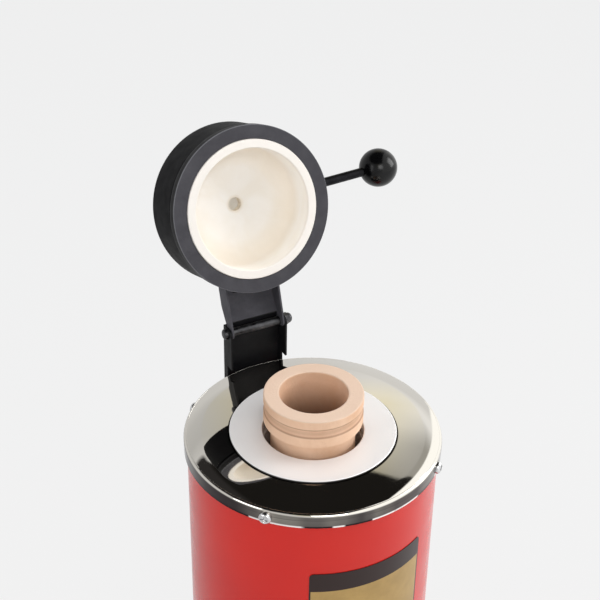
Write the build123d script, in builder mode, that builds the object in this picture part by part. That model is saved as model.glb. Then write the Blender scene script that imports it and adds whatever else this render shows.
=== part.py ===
"""Electric gold melting furnace: a round body on a control box, with a hinged lid and a clay crucible.

Millimetres, +Z up. The origin is on the axis of the round body, in the plane that the feet stand on.
The front, with the controls, looks along -Y. The lid's hinge is at the back, and its handle is on +X.
The lid is modelled open, leaning back on its stop.
"""

import os
from math import acos, cos, degrees, hypot, pi, radians, sin, sqrt, tan

from build123d import *

os.makedirs("parts", exist_ok=True)

# ---------------------------------------------------------------- driving sizes
fit = 0.3  # running clearance between pieces that move
seat = 0.1  # slack between round pieces that sit in each other

# control box
base_width = 226.0
base_front = 137.0  # from the body's axis to the front wall
base_back = 82.0  # from the body's axis to the back wall
base_height = 80.0
panel_top = 88.0  # from the body's axis to the panel's upper edge
front_wall_height = 30.0
box_sheet = 1.2
box_bend = 3.0
tray_sheet = 1.5
tray_flange = 14.0
foot_radius = 11.0
foot_height = 12.0
foot_draft = 8.0
foot_recess_radius = 5.0
foot_recess_depth = 7.0
foot_inset_side = 24.0
foot_inset_end = 26.0
side_screw_share = 0.33  # of the box's length, from its middle

# round body
body_radius = 78.0
body_height = 218.0  # from the box's top to the cover's top
body_sheet = 1.2
cover_radius = 80.0
cover_sheet = 1.0
cover_skirt = 9.6
cover_edge = 2.0
cover_hole_radius = 42.0
floor_rim = 12.0
floor_sheet = 1.2
floor_screw_share = 0.72  # of the body's radius

# mouth, hearth and heater
mouth_radius = 31.5
ring_radius = 51.9
ring_thickness = 1.5
ring_lip = 7.0
ring_lip_wall = 1.1
ring_round_share = 0.45
board_thickness = 10.0
muffle_wall = 4.5
hearth_depth = 120.0  # from the cover's top to the hearth's floor
hearth_slab = 12.0
wire_diameter = 2.2
coil_turns = 10
coil_end_margin = 4.0
element_gap = 8.0  # free air between the winding and the side insulation
post_side = 4.0
post_reach = 14.0  # how far the posts stand out under the box's top
probe_radius = 2.5
probe_top = 70.0  # from the cover's top down to the probe's tip

# crucible
crucible_radius = 30.8
crucible_bore = 21.2
crucible_neck = 26.5
crucible_rise = 28.7  # from the cover's top to the crucible's top
crucible_band_top = 6.3
crucible_groove = 5.6
crucible_groove_depth = 1.3
crucible_band_low = 7.7
crucible_bottom = 16.0
crucible_bore_round = 9.0
crucible_edge = 0.9

# lid
lid_radius = 52.0
lid_depth = 39.8
lid_sheet = 1.2
lid_edge = 2.0
face_radius = 52.8
face_sheet = 0.75
face_band = 6.5
face_edge = 0.6
bowl_radius = 43.8
bowl_wall = 5.5
bowl_depth = 28.5
bowl_crown = 5.2
bowl_round = 9.0
bowl_proud = 0.6  # how far the bowl's rim stands out of the lid's face
vent_radius = 4.35
lid_gap = 0.4  # between the closed lid's bowl and the mouth ring
lid_open_angle = 108.4

# hinge
pivot_back = 82.0  # from the body's axis to the pin
pivot_rise = 28.2  # from the cover's top to the pin
pin_radius = 2.0
pin_clear = 0.1
pin_head_radius = 3.7
pin_head_height = 2.6
sleeve_radius = 3.0
ear_radius = 3.2
bracket_width = 40.6
bracket_depth = 11.6
bracket_sheet = 1.2
bracket_ear_rise = 4.5  # from the pin to the bracket's top
bracket_notch_rise = 3.5  # from the cover's top to the flanges' front part
bracket_notch_depth = 6.4
bracket_drop = 62.0  # from the cover's top to the bracket's lower end
bracket_screw_drops = (24.0, 50.0)
bracket_screw_side = 11.0
spacer_radius = 4.5
arm_depth = 12.0
arm_back = 5.5  # from the pin to the arm's back face
arm_sheet = 1.2
arm_heel = (6.0, 1.4)  # from the pin, along and across the arm: bears on the bracket when the lid is open
arm_web_start = 6.4
arm_web_step = 3.5
arm_taper_end = 17.5
arm_pad = 1.5
arm_screw_side = 9.0

# handle
rod_radius = 3.0
handle_nut_radius = 5.0
knob_radius = 12.8
knob_reach = 102.4  # from the lid's axis to the knob's centre
knob_socket = 10.0
handle_depth = 20.4  # from the lid's face to the rod
handle_turn = 2.4  # degrees away from the hinge's own direction

# screws: M4 pan heads and hexagon nuts
screw_radius = 2.0
screw_clear = 0.2
screw_head_radius = 4.0
screw_head_height = 2.6
dome_share = 0.75  # of its height or radius, the rounding of a dome
screw_cross_width = 1.0
screw_cross_length = 4.6
screw_cross_depth = 1.3
nut_flats = 7.0
nut_height = 3.2
thread_spare = 1.0
pocket_radius = 5.0
pocket_depth = 8.0
cover_screw_drop = 6.0
screw_turn = 3.0  # degrees clockwise from the diagonals
floor_screw_rise = 6.0

# plain foil plate on the body
plate_arc = 58.0
plate_drop = 47.0
plate_height = 62.0
plate_thickness = 0.3
plate_corner = 3.0

# controls on the sloping panel
bezel_side = 48.0
bezel_height = 5.0
bezel_corner = 2.0
controller_side = 44.6
controller_depth = 48.0
cutout_slack = 0.4
controller_offset = -42.0
window_width = 40.0
window_height = 22.0
window_offset = 8.0
window_thickness = 1.4
button_width = 8.0
button_height = 5.0
button_pitch = 10.2
button_offset = -14.5
button_proud = 1.0
button_travel = 0.8
clamp_side = 53.0
clamp_thickness = 4.0
switch_offset = 54.0
switch_width = 25.0
switch_height = 31.0
switch_bezel = 2.2
switch_body_width = 21.6
switch_body_height = 27.6
switch_body_depth = 24.0
rocker_width = 17.0
rocker_reach = 11.0
rocker_pivot_depth = 2.0
rocker_tilt = 9.0
rocker_crest = 5.4
rocker_valley = 3.4
rocker_root = 8.0
axle_radius = 1.5

# mains inlet in the back wall
inlet_height = 32.0  # above the box's lower edge
inlet_offset = -50.0
inlet_flange_width = 50.0
inlet_flange_height = 23.0
inlet_flange = 2.5
inlet_corner = 4.0
inlet_body_width = 27.6
inlet_body_height = 20.0
inlet_body_depth = 18.0
inlet_mouth_width = 24.0
inlet_mouth_height = 16.6
inlet_mouth_depth = 16.0
inlet_screw_pitch = 40.0
blade_width = 4.0
blade_thickness = 2.0
blade_length = 10.5
blade_tail = 8.0
blade_spread = 7.0
blade_rise = 2.0

# parts on the tray
relay_length = 58.0
relay_width = 45.0
relay_height = 24.0
relay_place = (48.0, 20.0)
relay_base = 3.0
relay_body_share = 0.72
terminal_length = 62.0
terminal_width = 22.0
terminal_height = 16.0
terminal_poles = 5
pole_share = 0.7
terminal_place = (-42.0, 20.0)

# wires inside the box
lead_diameter = 2.4
lead_start = 14.0  # straight out of each end
lead_spread = 8.0  # from the relay's middle to its terminals
heater_route = [(-5.0, -12.0, 50.0)]
earth_lug = (-76.0, 46.0)
earth_route = [(-63.0, 28.0, 48.0), (-76.0, 31.0, 40.0)]
feed_route = [(34.0, -52.0, 40.0), (12.0, -26.0, 46.0), (-10.0, 2.0, 52.0)]
load_route = [(60.0, -50.0, 30.0)]
probe_route = [(-40.0, -8.0, 46.0), (-42.0, -42.0, 32.0)]
signal_route = [(4.0, -50.0, 22.0)]

# cooling slots in the box's sides
slot_width = 3.0
slot_length = 34.0
slot_pitch = 9.0
slot_count = 7
slot_middle_back = 22.0

# ---------------------------------------------------------------- worked-out places
box_top = foot_height + base_height
cover_top = box_top + body_height
cover_under = cover_top - cover_sheet
shell_inner = body_radius - body_sheet
lining_radius = shell_inner - fit
floor_top = box_top + floor_sheet
board_under = cover_under - board_thickness
muffle_radius = mouth_radius + muffle_wall
hearth_floor_top = cover_top - hearth_depth
hearth_floor_under = hearth_floor_top - hearth_slab
coil_radius = muffle_radius + fit + wire_diameter / 2
coil_low = hearth_floor_top + coil_end_margin + wire_diameter / 2
coil_high = board_under - coil_end_margin - wire_diameter / 2
lining_bore = coil_radius + wire_diameter / 2 + element_gap
post_radius = lining_bore - fit - post_side / sqrt(2)
post_run = sqrt(post_radius**2 - coil_radius**2) - post_side / 2

pivot_z = cover_top + pivot_rise
lean = radians(lid_open_angle - 90)
lid_up = Vector(0, sin(lean), cos(lean))  # from the pin along the open lid
lid_back = Vector(0, cos(lean), -sin(lean))  # from the open lid's face into the lid
face_rise = ring_thickness + lid_gap + bowl_proud  # closed face above the cover's top
pin_to_face = pivot_rise - face_rise  # closed, the pin is this far above the face
pivot = Vector(0, pivot_back, pivot_z)
face_centre = pivot + lid_up * pivot_back - lid_back * pin_to_face
lid_axis = Axis(face_centre, lid_back)
lid_section = Plane(origin=face_centre, x_dir=(1, 0, 0), z_dir=lid_up)
arm_side = Plane(origin=pivot, x_dir=lid_up, z_dir=(-1, 0, 0))


def lid_plane(depth):
    """The plane across the lid, depth behind its face, with its own Y towards the hinge."""
    return Plane(origin=face_centre + lid_back * depth, x_dir=(1, 0, 0), z_dir=lid_back)


def radial_plane(angle, radius, height):
    """The plane that faces away from the body's axis at that angle, radius and height."""
    turn = radians(angle)
    outward = Vector(cos(turn), sin(turn), 0)
    return Plane(origin=outward * radius + Vector(0, 0, height), x_dir=(0, 0, 1), z_dir=outward)


def pan_screw(plane, length, nut_from=None):
    """A pan-head screw whose head sits on the plane, with a nut that far under the head."""
    with BuildSketch(plane) as head_outline:
        Circle(screw_head_radius)
    head = extrude(head_outline.sketch, amount=screw_head_height)
    rims = head.edges().filter_by(GeomType.CIRCLE)
    fillet(rims.sort_by(Axis(plane.origin, plane.z_dir))[-1], screw_head_height * dome_share)
    with BuildSketch(plane.offset(screw_head_height)) as cross:
        Rectangle(screw_cross_length, screw_cross_width)
        Rectangle(screw_cross_width, screw_cross_length)
    extrude(cross.sketch, amount=-screw_cross_depth, mode=Mode.SUBTRACT)
    with BuildSketch(plane) as shank_outline:
        Circle(screw_radius)
    extrude(shank_outline.sketch, amount=-length)
    if nut_from is not None:
        with BuildSketch(plane.offset(-nut_from)) as nut_outline:
            RegularPolygon(nut_flats / 2, 6, major_radius=False)
        extrude(nut_outline.sketch, amount=-nut_height)


# ---------------------------------------------------------------- control box
base_middle = (base_back - base_front) / 2
base_length = base_front + base_back
foot_places = GridLocations(
    base_width - 2 * foot_inset_side, base_length - 2 * foot_inset_end, 2, 2
)
foot_grid = [Vector(0, base_middle, 0) + place.position for place in foot_places]
tray_top = foot_height + tray_sheet
tray_width = base_width - 2 * box_sheet - 2 * seat
side_screw_places = [base_middle + side * base_length * side_screw_share for side in (-1, 1)]
side_screw_z = foot_height + tray_flange / 2 + tray_sheet / 2

with BuildPart() as rubber_feet:
    with BuildSketch(Plane.XY.offset(foot_height)):
        with Locations(*foot_grid):
            Circle(foot_radius)
    extrude(amount=-foot_height, taper=foot_draft)
    with BuildSketch(Plane.XY):
        with Locations(*foot_grid):
            Circle(foot_recess_radius)
    extrude(amount=foot_recess_depth, mode=Mode.SUBTRACT)
    with BuildSketch(Plane.XY):
        with Locations(*foot_grid):
            Circle(screw_radius + screw_clear)
    extrude(amount=foot_height, mode=Mode.SUBTRACT)
rubber_feet.part.label = "rubber_feet"
export_step(rubber_feet.part, "parts/rubber_feet.step")

with BuildPart() as foot_screws:
    for place in foot_grid:
        under_plate = Plane(origin=place + Vector(0, 0, foot_recess_depth), z_dir=(0, 0, -1))
        grip = foot_height - foot_recess_depth + tray_sheet
        pan_screw(under_plate, grip + nut_height + thread_spare, grip)
foot_screws.part.label = "foot_screws"
export_step(foot_screws.part, "parts/foot_screws.step")

with BuildPart() as base_tray:
    with BuildSketch(Plane.XY.offset(foot_height)):
        with Locations((0, base_middle)):
            RectangleRounded(tray_width, base_length - 2 * box_sheet - 2 * seat, box_bend)
    extrude(amount=tray_sheet)
    with BuildSketch(Plane.XY.offset(foot_height)):
        with Locations((0, base_middle)):
            with GridLocations(tray_width - tray_sheet, 0, 2, 1):
                Rectangle(tray_sheet, base_length - 2 * box_sheet - 2 * box_bend)
    extrude(amount=tray_flange)
    with BuildSketch(Plane.XY.offset(foot_height)):
        with Locations(*foot_grid):
            Circle(screw_radius + screw_clear)
    extrude(amount=tray_sheet, mode=Mode.SUBTRACT)
    with BuildSketch(Plane.YZ):
        with Locations(*[(y, side_screw_z) for y in side_screw_places]):
            Circle(screw_radius + screw_clear)
    extrude(amount=base_width, both=True, mode=Mode.SUBTRACT)
base_tray.part.label = "base_tray"
export_step(base_tray.part, "parts/base_tray.step")

panel_low_z = foot_height + front_wall_height
panel_run = base_front - panel_top
panel_drop = box_top - panel_low_z
panel_length = hypot(panel_run, panel_drop)
panel_across = Vector(0, panel_run / panel_length, panel_drop / panel_length)
panel_out = Vector(0, -panel_drop / panel_length, panel_run / panel_length)
panel_middle = Vector(0, -(base_front + panel_top) / 2, (box_top + panel_low_z) / 2)
panel = Plane(origin=panel_middle, x_dir=(1, 0, 0), z_dir=panel_out)
panel_inside = panel.offset(-box_sheet)

floor_screw_radius = body_radius * floor_screw_share
floor_screw_angles = (20, 160, 200, 340)
post_angles = (60.0, 240.0)
probe_angle = 150.0
probe_circle = lining_bore - fit - probe_radius


def polar_place(angle, radius):
    """A point on a circle about the body's axis."""
    return (radius * cos(radians(angle)), radius * sin(radians(angle)))


lead_places = [polar_place(angle, post_radius) for angle in post_angles]
probe_place = polar_place(probe_angle, probe_circle)
floor_screw_places = [polar_place(angle, floor_screw_radius) for angle in floor_screw_angles]
lead_hole_radius = post_side / sqrt(2) + fit

inlet_z = foot_height + inlet_height
back_wall = Plane(origin=(inlet_offset, base_back, inlet_z), x_dir=(-1, 0, 0), z_dir=(0, 1, 0))

with BuildPart() as base_housing:
    with BuildSketch(Plane.YZ):
        Polygon(
            (base_back, foot_height),
            (base_back, box_top),
            (-panel_top, box_top),
            (-base_front, panel_low_z),
            (-base_front, foot_height),
            align=None,
        )
    extrude(amount=base_width / 2, both=True)
    upper_edges = base_housing.edges().filter_by(lambda edge: edge.center().Z > foot_height + fit)
    fillet(upper_edges, box_bend)
    offset(amount=-box_sheet, openings=base_housing.faces().sort_by(Axis.Z)[0])
    with BuildSketch(Plane.XY.offset(box_top - box_bend)):
        with Locations(*lead_places):
            Circle(lead_hole_radius)
        with Locations(probe_place):
            Circle(probe_radius + seat)
        with Locations(*floor_screw_places):
            Circle(screw_radius + screw_clear)
    extrude(amount=2 * box_bend, mode=Mode.SUBTRACT)
    with BuildSketch(panel_inside.offset(-box_sheet)):
        with Locations((controller_offset, 0)):
            Rectangle(controller_side + cutout_slack, controller_side + cutout_slack)
        with Locations((switch_offset, 0)):
            Rectangle(switch_body_width + cutout_slack, switch_body_height + cutout_slack)
    extrude(amount=3 * box_sheet, mode=Mode.SUBTRACT)
    with BuildSketch(back_wall.offset(-2 * box_sheet)):
        Rectangle(inlet_body_width + cutout_slack, inlet_body_height + cutout_slack)
        with GridLocations(inlet_screw_pitch, 0, 2, 1):
            Circle(screw_radius + screw_clear)
    extrude(amount=3 * box_sheet, mode=Mode.SUBTRACT)
    with BuildSketch(Plane.YZ):
        with Locations(*[(y, side_screw_z) for y in side_screw_places]):
            Circle(screw_radius + screw_clear)
        with Locations((slot_middle_back, (foot_height + box_top) / 2)):
            with GridLocations(slot_pitch, 0, slot_count, 1):
                SlotOverall(slot_length, slot_width, rotation=90)
    extrude(amount=base_width, both=True, mode=Mode.SUBTRACT)
base_housing.part.label = "base_housing"
export_step(base_housing.part, "parts/base_housing.step")

with BuildPart() as housing_screws:
    for side in (-1, 1):
        for y in side_screw_places:
            wall = Plane(origin=(side * base_width / 2, y, side_screw_z), z_dir=(side, 0, 0))
            grip = box_sheet + seat + tray_sheet
            pan_screw(wall, grip + nut_height + thread_spare, grip)
housing_screws.part.label = "housing_screws"
export_step(housing_screws.part, "parts/housing_screws.step")

# ---------------------------------------------------------------- round body
cover_screw_angles = [45 * turn - screw_turn for turn in (1, 3, 5, 7)]
cover_screw_z = cover_top - cover_screw_drop
floor_screw_z = box_top + floor_screw_rise
bracket_screw_places = [
    (side * bracket_screw_side, cover_top - drop) for side in (-1, 1) for drop in bracket_screw_drops
]
behind = Plane(origin=(0, 0, 0), x_dir=(-1, 0, 0), z_dir=(0, 1, 0))

with BuildPart() as body_floor:
    with BuildSketch(Plane.XY.offset(box_top)):
        Circle(shell_inner - seat)
    extrude(amount=floor_rim)
    with BuildSketch(Plane.XY.offset(floor_top)):
        Circle(shell_inner - seat - floor_sheet)
    extrude(amount=floor_rim, mode=Mode.SUBTRACT)
    with BuildSketch(Plane.XY.offset(box_top)):
        with Locations(*lead_places):
            Circle(lead_hole_radius)
        with Locations(probe_place):
            Circle(probe_radius + seat)
        with Locations(*floor_screw_places):
            Circle(screw_radius + screw_clear)
    extrude(amount=floor_sheet, mode=Mode.SUBTRACT)
    for angle in cover_screw_angles:
        with BuildSketch(radial_plane(angle, shell_inner - pocket_depth, floor_screw_z)):
            Circle(screw_radius + screw_clear)
        extrude(amount=pocket_depth, mode=Mode.SUBTRACT)
body_floor.part.label = "body_floor"
export_step(body_floor.part, "parts/body_floor.step")

with BuildPart() as floor_screws:
    for x, y in floor_screw_places:
        under_top = Plane(origin=(x, y, box_top - box_sheet), z_dir=(0, 0, -1))
        grip = box_sheet + floor_sheet
        pan_screw(under_top, grip + nut_height + thread_spare, grip)
floor_screws.part.label = "floor_screws"
export_step(floor_screws.part, "parts/floor_screws.step")

with BuildPart() as body_shell:
    with BuildSketch(Plane.XY.offset(box_top)):
        Circle(body_radius)
        Circle(shell_inner, mode=Mode.SUBTRACT)
    extrude(amount=cover_under - box_top)
    for angle in cover_screw_angles:
        for height in (floor_screw_z, cover_screw_z):
            with BuildSketch(radial_plane(angle, shell_inner - fit, height)):
                Circle(screw_radius + screw_clear)
            extrude(amount=2 * body_sheet, mode=Mode.SUBTRACT)
    with BuildSketch(behind):
        with Locations(*bracket_screw_places):
            Circle(screw_radius + screw_clear)
    extrude(amount=cover_radius, mode=Mode.SUBTRACT)
body_shell.part.label = "body_shell"
export_step(body_shell.part, "parts/body_shell.step")

with BuildPart() as shell_screws:
    for angle in cover_screw_angles:
        grip = body_sheet + floor_sheet + 3 * seat
        pan_screw(radial_plane(angle, body_radius, floor_screw_z), grip + nut_height + thread_spare, grip)
shell_screws.part.label = "shell_screws"
export_step(shell_screws.part, "parts/shell_screws.step")

with BuildPart() as top_cover:
    with BuildSketch(Plane.XZ):
        with BuildLine():
            crown = Polyline(
                (cover_hole_radius, cover_under),
                (cover_hole_radius, cover_top),
                (cover_radius - cover_edge, cover_top),
            )
            bend = CenterArc((cover_radius - cover_edge, cover_top - cover_edge), cover_edge, 0, 90)
            Polyline(
                bend @ 0,
                (cover_radius, cover_top - cover_skirt),
                (cover_radius - cover_sheet, cover_top - cover_skirt),
                (cover_radius - cover_sheet, cover_top - cover_edge),
            )
            inner = CenterArc(
                (cover_radius - cover_edge, cover_top - cover_edge), cover_edge - cover_sheet, 0, 90
            )
            Line(inner @ 1, crown @ 0)
        make_face()
    revolve(axis=Axis.Z)
    for angle in cover_screw_angles:
        with BuildSketch(radial_plane(angle, body_radius, cover_screw_z)):
            Circle(screw_radius + screw_clear)
        extrude(amount=2 * cover_edge, mode=Mode.SUBTRACT)
top_cover.part.label = "top_cover"
export_step(top_cover.part, "parts/top_cover.step")

with BuildPart() as cover_screws:
    for angle in cover_screw_angles:
        grip = cover_radius - shell_inner + 2 * seat
        pan_screw(radial_plane(angle, cover_radius, cover_screw_z), grip + nut_height + thread_spare, grip)
cover_screws.part.label = "cover_screws"
export_step(cover_screws.part, "parts/cover_screws.step")

with BuildPart() as mouth_ring:
    with BuildSketch(Plane.XY.offset(cover_top)):
        Circle(ring_radius)
        Circle(mouth_radius, mode=Mode.SUBTRACT)
    extrude(amount=ring_thickness)
    with BuildSketch(Plane.XY.offset(cover_top)):
        Circle(mouth_radius + ring_lip_wall)
        Circle(mouth_radius, mode=Mode.SUBTRACT)
    extrude(amount=-ring_lip)
    ring_edges = mouth_ring.edges().filter_by(GeomType.CIRCLE).group_by(Axis.Z)[-1]
    fillet(ring_edges, ring_thickness * ring_round_share)
mouth_ring.part.label = "mouth_ring"
export_step(mouth_ring.part, "parts/mouth_ring.step")

with BuildPart() as foil_plate:
    with BuildSketch(Plane.XY.offset(cover_top - plate_drop)):
        with BuildLine():
            plate_start = -90 - plate_arc / 2
            outer = CenterArc((0, 0), body_radius + seat + plate_thickness, plate_start, plate_arc)
            inner = CenterArc((0, 0), body_radius + seat, plate_start, plate_arc)
            Line(outer @ 0, inner @ 0)
            Line(outer @ 1, inner @ 1)
        make_face()
    extrude(amount=-plate_height)
    corners = foil_plate.edges().filter_by(lambda edge: edge.length < 2 * plate_thickness)
    fillet(corners, plate_corner)
foil_plate.part.label = "foil_plate"
export_step(foil_plate.part, "parts/foil_plate.step")

# ---------------------------------------------------------------- hearth, heater and insulation
with BuildPart() as top_board:
    with BuildSketch(Plane.XY.offset(board_under)):
        Circle(lining_radius)
        Circle(mouth_radius + ring_lip_wall + fit, mode=Mode.SUBTRACT)
    extrude(amount=board_thickness)
    for angle in cover_screw_angles:
        with BuildSketch(radial_plane(angle, shell_inner - pocket_depth, cover_screw_z)):
            Circle(pocket_radius)
        extrude(amount=pocket_depth, mode=Mode.SUBTRACT)
top_board.part.label = "top_board"
export_step(top_board.part, "parts/top_board.step")

with BuildPart() as muffle_tube:
    with BuildSketch(Plane.XY.offset(hearth_floor_top)):
        Circle(muffle_radius)
        Circle(mouth_radius, mode=Mode.SUBTRACT)
    extrude(amount=board_under - hearth_floor_top)
muffle_tube.part.label = "muffle_tube"
export_step(muffle_tube.part, "parts/muffle_tube.step")

with BuildPart() as hearth_floor:
    with BuildSketch(Plane.XY.offset(hearth_floor_under)):
        Circle(coil_radius)
    extrude(amount=hearth_slab)
hearth_floor.part.label = "hearth_floor"
export_step(hearth_floor.part, "parts/hearth_floor.step")

with BuildPart() as bottom_insulation:
    with BuildSketch(Plane.XY.offset(floor_top)):
        Circle(shell_inner - seat - floor_sheet - seat)
        with Locations(*lead_places):
            Circle(lead_hole_radius, mode=Mode.SUBTRACT)
        with Locations(probe_place):
            Circle(probe_radius + seat, mode=Mode.SUBTRACT)
        with Locations(*floor_screw_places):
            Circle(pocket_radius, mode=Mode.SUBTRACT)
    extrude(amount=hearth_floor_under - floor_top)
    for angle in cover_screw_angles:
        with BuildSketch(radial_plane(angle, shell_inner - pocket_depth, floor_screw_z)):
            Circle(pocket_radius)
        extrude(amount=pocket_depth, mode=Mode.SUBTRACT)
bottom_insulation.part.label = "bottom_insulation"
export_step(bottom_insulation.part, "parts/bottom_insulation.step")

with BuildPart() as side_insulation:
    with BuildSketch(Plane.XY.offset(hearth_floor_under)):
        Circle(lining_radius)
        Circle(lining_bore, mode=Mode.SUBTRACT)
    extrude(amount=board_under - hearth_floor_under)
    with BuildSketch(behind.offset(shell_inner - 2 * pocket_depth)):
        with Locations(*bracket_screw_places):
            Circle(pocket_radius)
    extrude(amount=3 * pocket_depth, mode=Mode.SUBTRACT)
side_insulation.part.label = "side_insulation"
export_step(side_insulation.part, "parts/side_insulation.step")


def helix_point(turn):
    """A point on the winding's centre line, turn in whole turns from its lower end."""
    angle = radians(coil_start_angle) + 2 * pi * turn
    return Vector(coil_radius * cos(angle), coil_radius * sin(angle), coil_low + coil_pitch * turn)


def helix_tangent(turn):
    """The winding's direction at that point."""
    angle = radians(coil_start_angle) + 2 * pi * turn
    rise = coil_pitch / (2 * pi)
    return Vector(-coil_radius * sin(angle), coil_radius * cos(angle), rise).normalized()


# each end of the winding runs straight along its tangent to the flat face of a post
post_swing = degrees(acos(coil_radius / post_radius))
coil_start_angle = post_angles[1] + post_swing
coil_stop_angle = post_angles[0] - post_swing
coil_run_turns = coil_turns - ((coil_start_angle - coil_stop_angle) % 360) / 360
coil_pitch = (coil_high - coil_low) / coil_run_turns
arcs_per_turn = 4
arc_count = round(coil_run_turns * arcs_per_turn)

with BuildPart() as heating_coil:
    with BuildLine() as winding:
        start = helix_point(0)
        flat_start = Vector(helix_tangent(0).X, helix_tangent(0).Y, 0).normalized()
        flat_stop = Vector(helix_tangent(coil_run_turns).X, helix_tangent(coil_run_turns).Y, 0).normalized()
        Line(start - flat_start * post_run, start)
        for step in range(arc_count):
            first = coil_run_turns * step / arc_count
            last = coil_run_turns * (step + 1) / arc_count
            p0 = helix_point(first)
            p1 = helix_point(last)
            t0 = flat_start if step == 0 else helix_tangent(first)
            t1 = flat_stop if step == arc_count - 1 else helix_tangent(last)
            chord = p1 - p0
            both = t0 + t1
            bend_share = 2 * (1 - t0.dot(t1))
            reach = -chord.dot(both) + sqrt(chord.dot(both) ** 2 + bend_share * chord.dot(chord))
            reach = reach / bend_share
            joint = (p0 + p1 + (t0 - t1) * reach) / 2
            TangentArc(p0, joint, tangent=t0)
            TangentArc(joint, p1, tangent=(p1 - t1 * reach) - joint)
        stop = helix_point(coil_run_turns)
        Line(stop, stop + flat_stop * post_run)
    with BuildSketch(Plane(origin=start - flat_start * post_run, z_dir=flat_start)):
        Circle(wire_diameter / 2)
    sweep()
heating_coil.part.label = "heating_coil"
export_step(heating_coil.part, "parts/heating_coil.step")
wire_length = sum(edge.length for edge in winding.edges())
wire_volume = pi * wire_diameter**2 / 4 * wire_length
print("heating_coil: volume over section times length", round(heating_coil.part.volume / wire_volume, 4))
samples = [helix_point(turn / 48) for turn in range(int(48 * coil_run_turns))]
least_gap = min(
    (samples[one] - samples[two]).length
    for one in range(len(samples))
    for two in range(one + 24, min(one + 60, len(samples)))
)
print("heating_coil: least gap between turns", round(least_gap - wire_diameter, 2), "mm")

with BuildPart() as element_posts:
    post_low = box_top - box_sheet - post_reach
    for angle, top in ((post_angles[1], coil_low), (post_angles[0], coil_high)):
        x, y = polar_place(angle, post_radius)
        way = flat_start if top == coil_low else flat_stop
        with BuildSketch(Plane(origin=(x, y, post_low), x_dir=way, z_dir=(0, 0, 1))):
            Rectangle(post_side, post_side)
        extrude(amount=top + wire_diameter - post_low)
element_posts.part.label = "element_posts"
export_step(element_posts.part, "parts/element_posts.step")

with BuildPart() as thermocouple:
    with BuildSketch(Plane.XY.offset(post_low)):
        with Locations(probe_place):
            Circle(probe_radius)
    extrude(amount=cover_top - probe_top - post_low)
    fillet(thermocouple.edges().sort_by(Axis.Z)[-1], probe_radius * dome_share)
    with BuildSketch(Plane.XY.offset(box_top - box_sheet)):
        with Locations(probe_place):
            RegularPolygon(2 * probe_radius, 6, major_radius=False)
    extrude(amount=-nut_height)
thermocouple.part.label = "thermocouple"
export_step(thermocouple.part, "parts/thermocouple.step")

# ---------------------------------------------------------------- crucible
crucible_top = cover_top + crucible_rise
crucible_flange = crucible_band_top + crucible_groove + crucible_band_low
flange_under = crucible_top - crucible_flange
groove_top = crucible_top - crucible_band_top
groove_low = groove_top - crucible_groove
crucible_low = hearth_floor_top + fit

with BuildPart() as crucible:
    with BuildSketch(Plane.XZ):
        with BuildLine():
            outside = Polyline(
                (0, crucible_low),
                (crucible_neck, crucible_low),
                (crucible_neck, flange_under),
                (crucible_radius, flange_under),
                (crucible_radius, groove_low),
            )
            waist = ThreePointArc(
                outside @ 1,
                (crucible_radius - crucible_groove_depth, (groove_low + groove_top) / 2),
                (crucible_radius, groove_top),
            )
            Polyline(
                waist @ 1,
                (crucible_radius, crucible_top),
                (crucible_bore, crucible_top),
                (crucible_bore, crucible_low + crucible_bottom + crucible_bore_round),
            )
            cup = CenterArc(
                (crucible_bore - crucible_bore_round, crucible_low + crucible_bottom + crucible_bore_round),
                crucible_bore_round, 0, -90,
            )
            Polyline(cup @ 1, (0, crucible_low + crucible_bottom), (0, crucible_low))
        make_face()
    revolve(axis=Axis.Z)
    round_edges = crucible.edges().filter_by(GeomType.CIRCLE)
    top_edges = round_edges.filter_by(lambda edge: edge.center().Z > flange_under - fit)
    top_edges = top_edges.filter_by(lambda edge: edge.radius > crucible_bore - fit)
    outer_edges = top_edges.filter_by(lambda edge: edge.radius > crucible_neck + fit)
    fillet(outer_edges + top_edges.group_by(Axis.Z)[-1].sort_by(SortBy.RADIUS)[0:1], crucible_edge)
    low_edge = crucible.edges().filter_by(GeomType.CIRCLE).group_by(Axis.Z)[0]
    chamfer(low_edge, 3 * crucible_edge)
crucible.part.label = "crucible"
export_step(crucible.part, "parts/crucible.step")

# ---------------------------------------------------------------- hinge
web_front = pivot_back + ear_radius + 4 * seat
web_back = web_front + bracket_sheet
flange_front = web_back - bracket_depth
bracket_top = pivot_z + bracket_ear_rise
bracket_low = cover_top - bracket_drop
notch_z = cover_top + bracket_notch_rise
notch_back = flange_front + bracket_notch_depth
ear_round = bracket_depth / 3

with BuildPart() as hinge_bracket:
    with BuildSketch(Plane.YZ):
        Polygon(
            (web_back, bracket_low),
            (web_back, bracket_top),
            (flange_front, bracket_top),
            (flange_front, notch_z),
            (notch_back, notch_z),
            (notch_back, bracket_low),
            align=None,
        )
    extrude(amount=bracket_width / 2, both=True)
    with BuildSketch(Plane.YZ):
        with Locations((web_front, bracket_low)):
            Rectangle(bracket_depth, bracket_top - bracket_low, align=(Align.MAX, Align.MIN))
    extrude(amount=bracket_width / 2 - bracket_sheet, both=True, mode=Mode.SUBTRACT)
    flange_edges = hinge_bracket.edges().filter_by(Axis.X).filter_by(
        lambda edge: edge.center().Y < web_front - fit and edge.center().Z > notch_z + fit
    )
    fillet(flange_edges, ear_round)
    with BuildSketch(Plane.YZ):
        with Locations((pivot_back, pivot_z)):
            Circle(pin_radius + pin_clear)
    extrude(amount=bracket_width, both=True, mode=Mode.SUBTRACT)
    with BuildSketch(behind.offset(notch_back)):
        with Locations(*bracket_screw_places):
            Circle(screw_radius + screw_clear)
    extrude(amount=bracket_depth, mode=Mode.SUBTRACT)
hinge_bracket.part.label = "hinge_bracket"
export_step(hinge_bracket.part, "parts/hinge_bracket.step")

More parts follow.
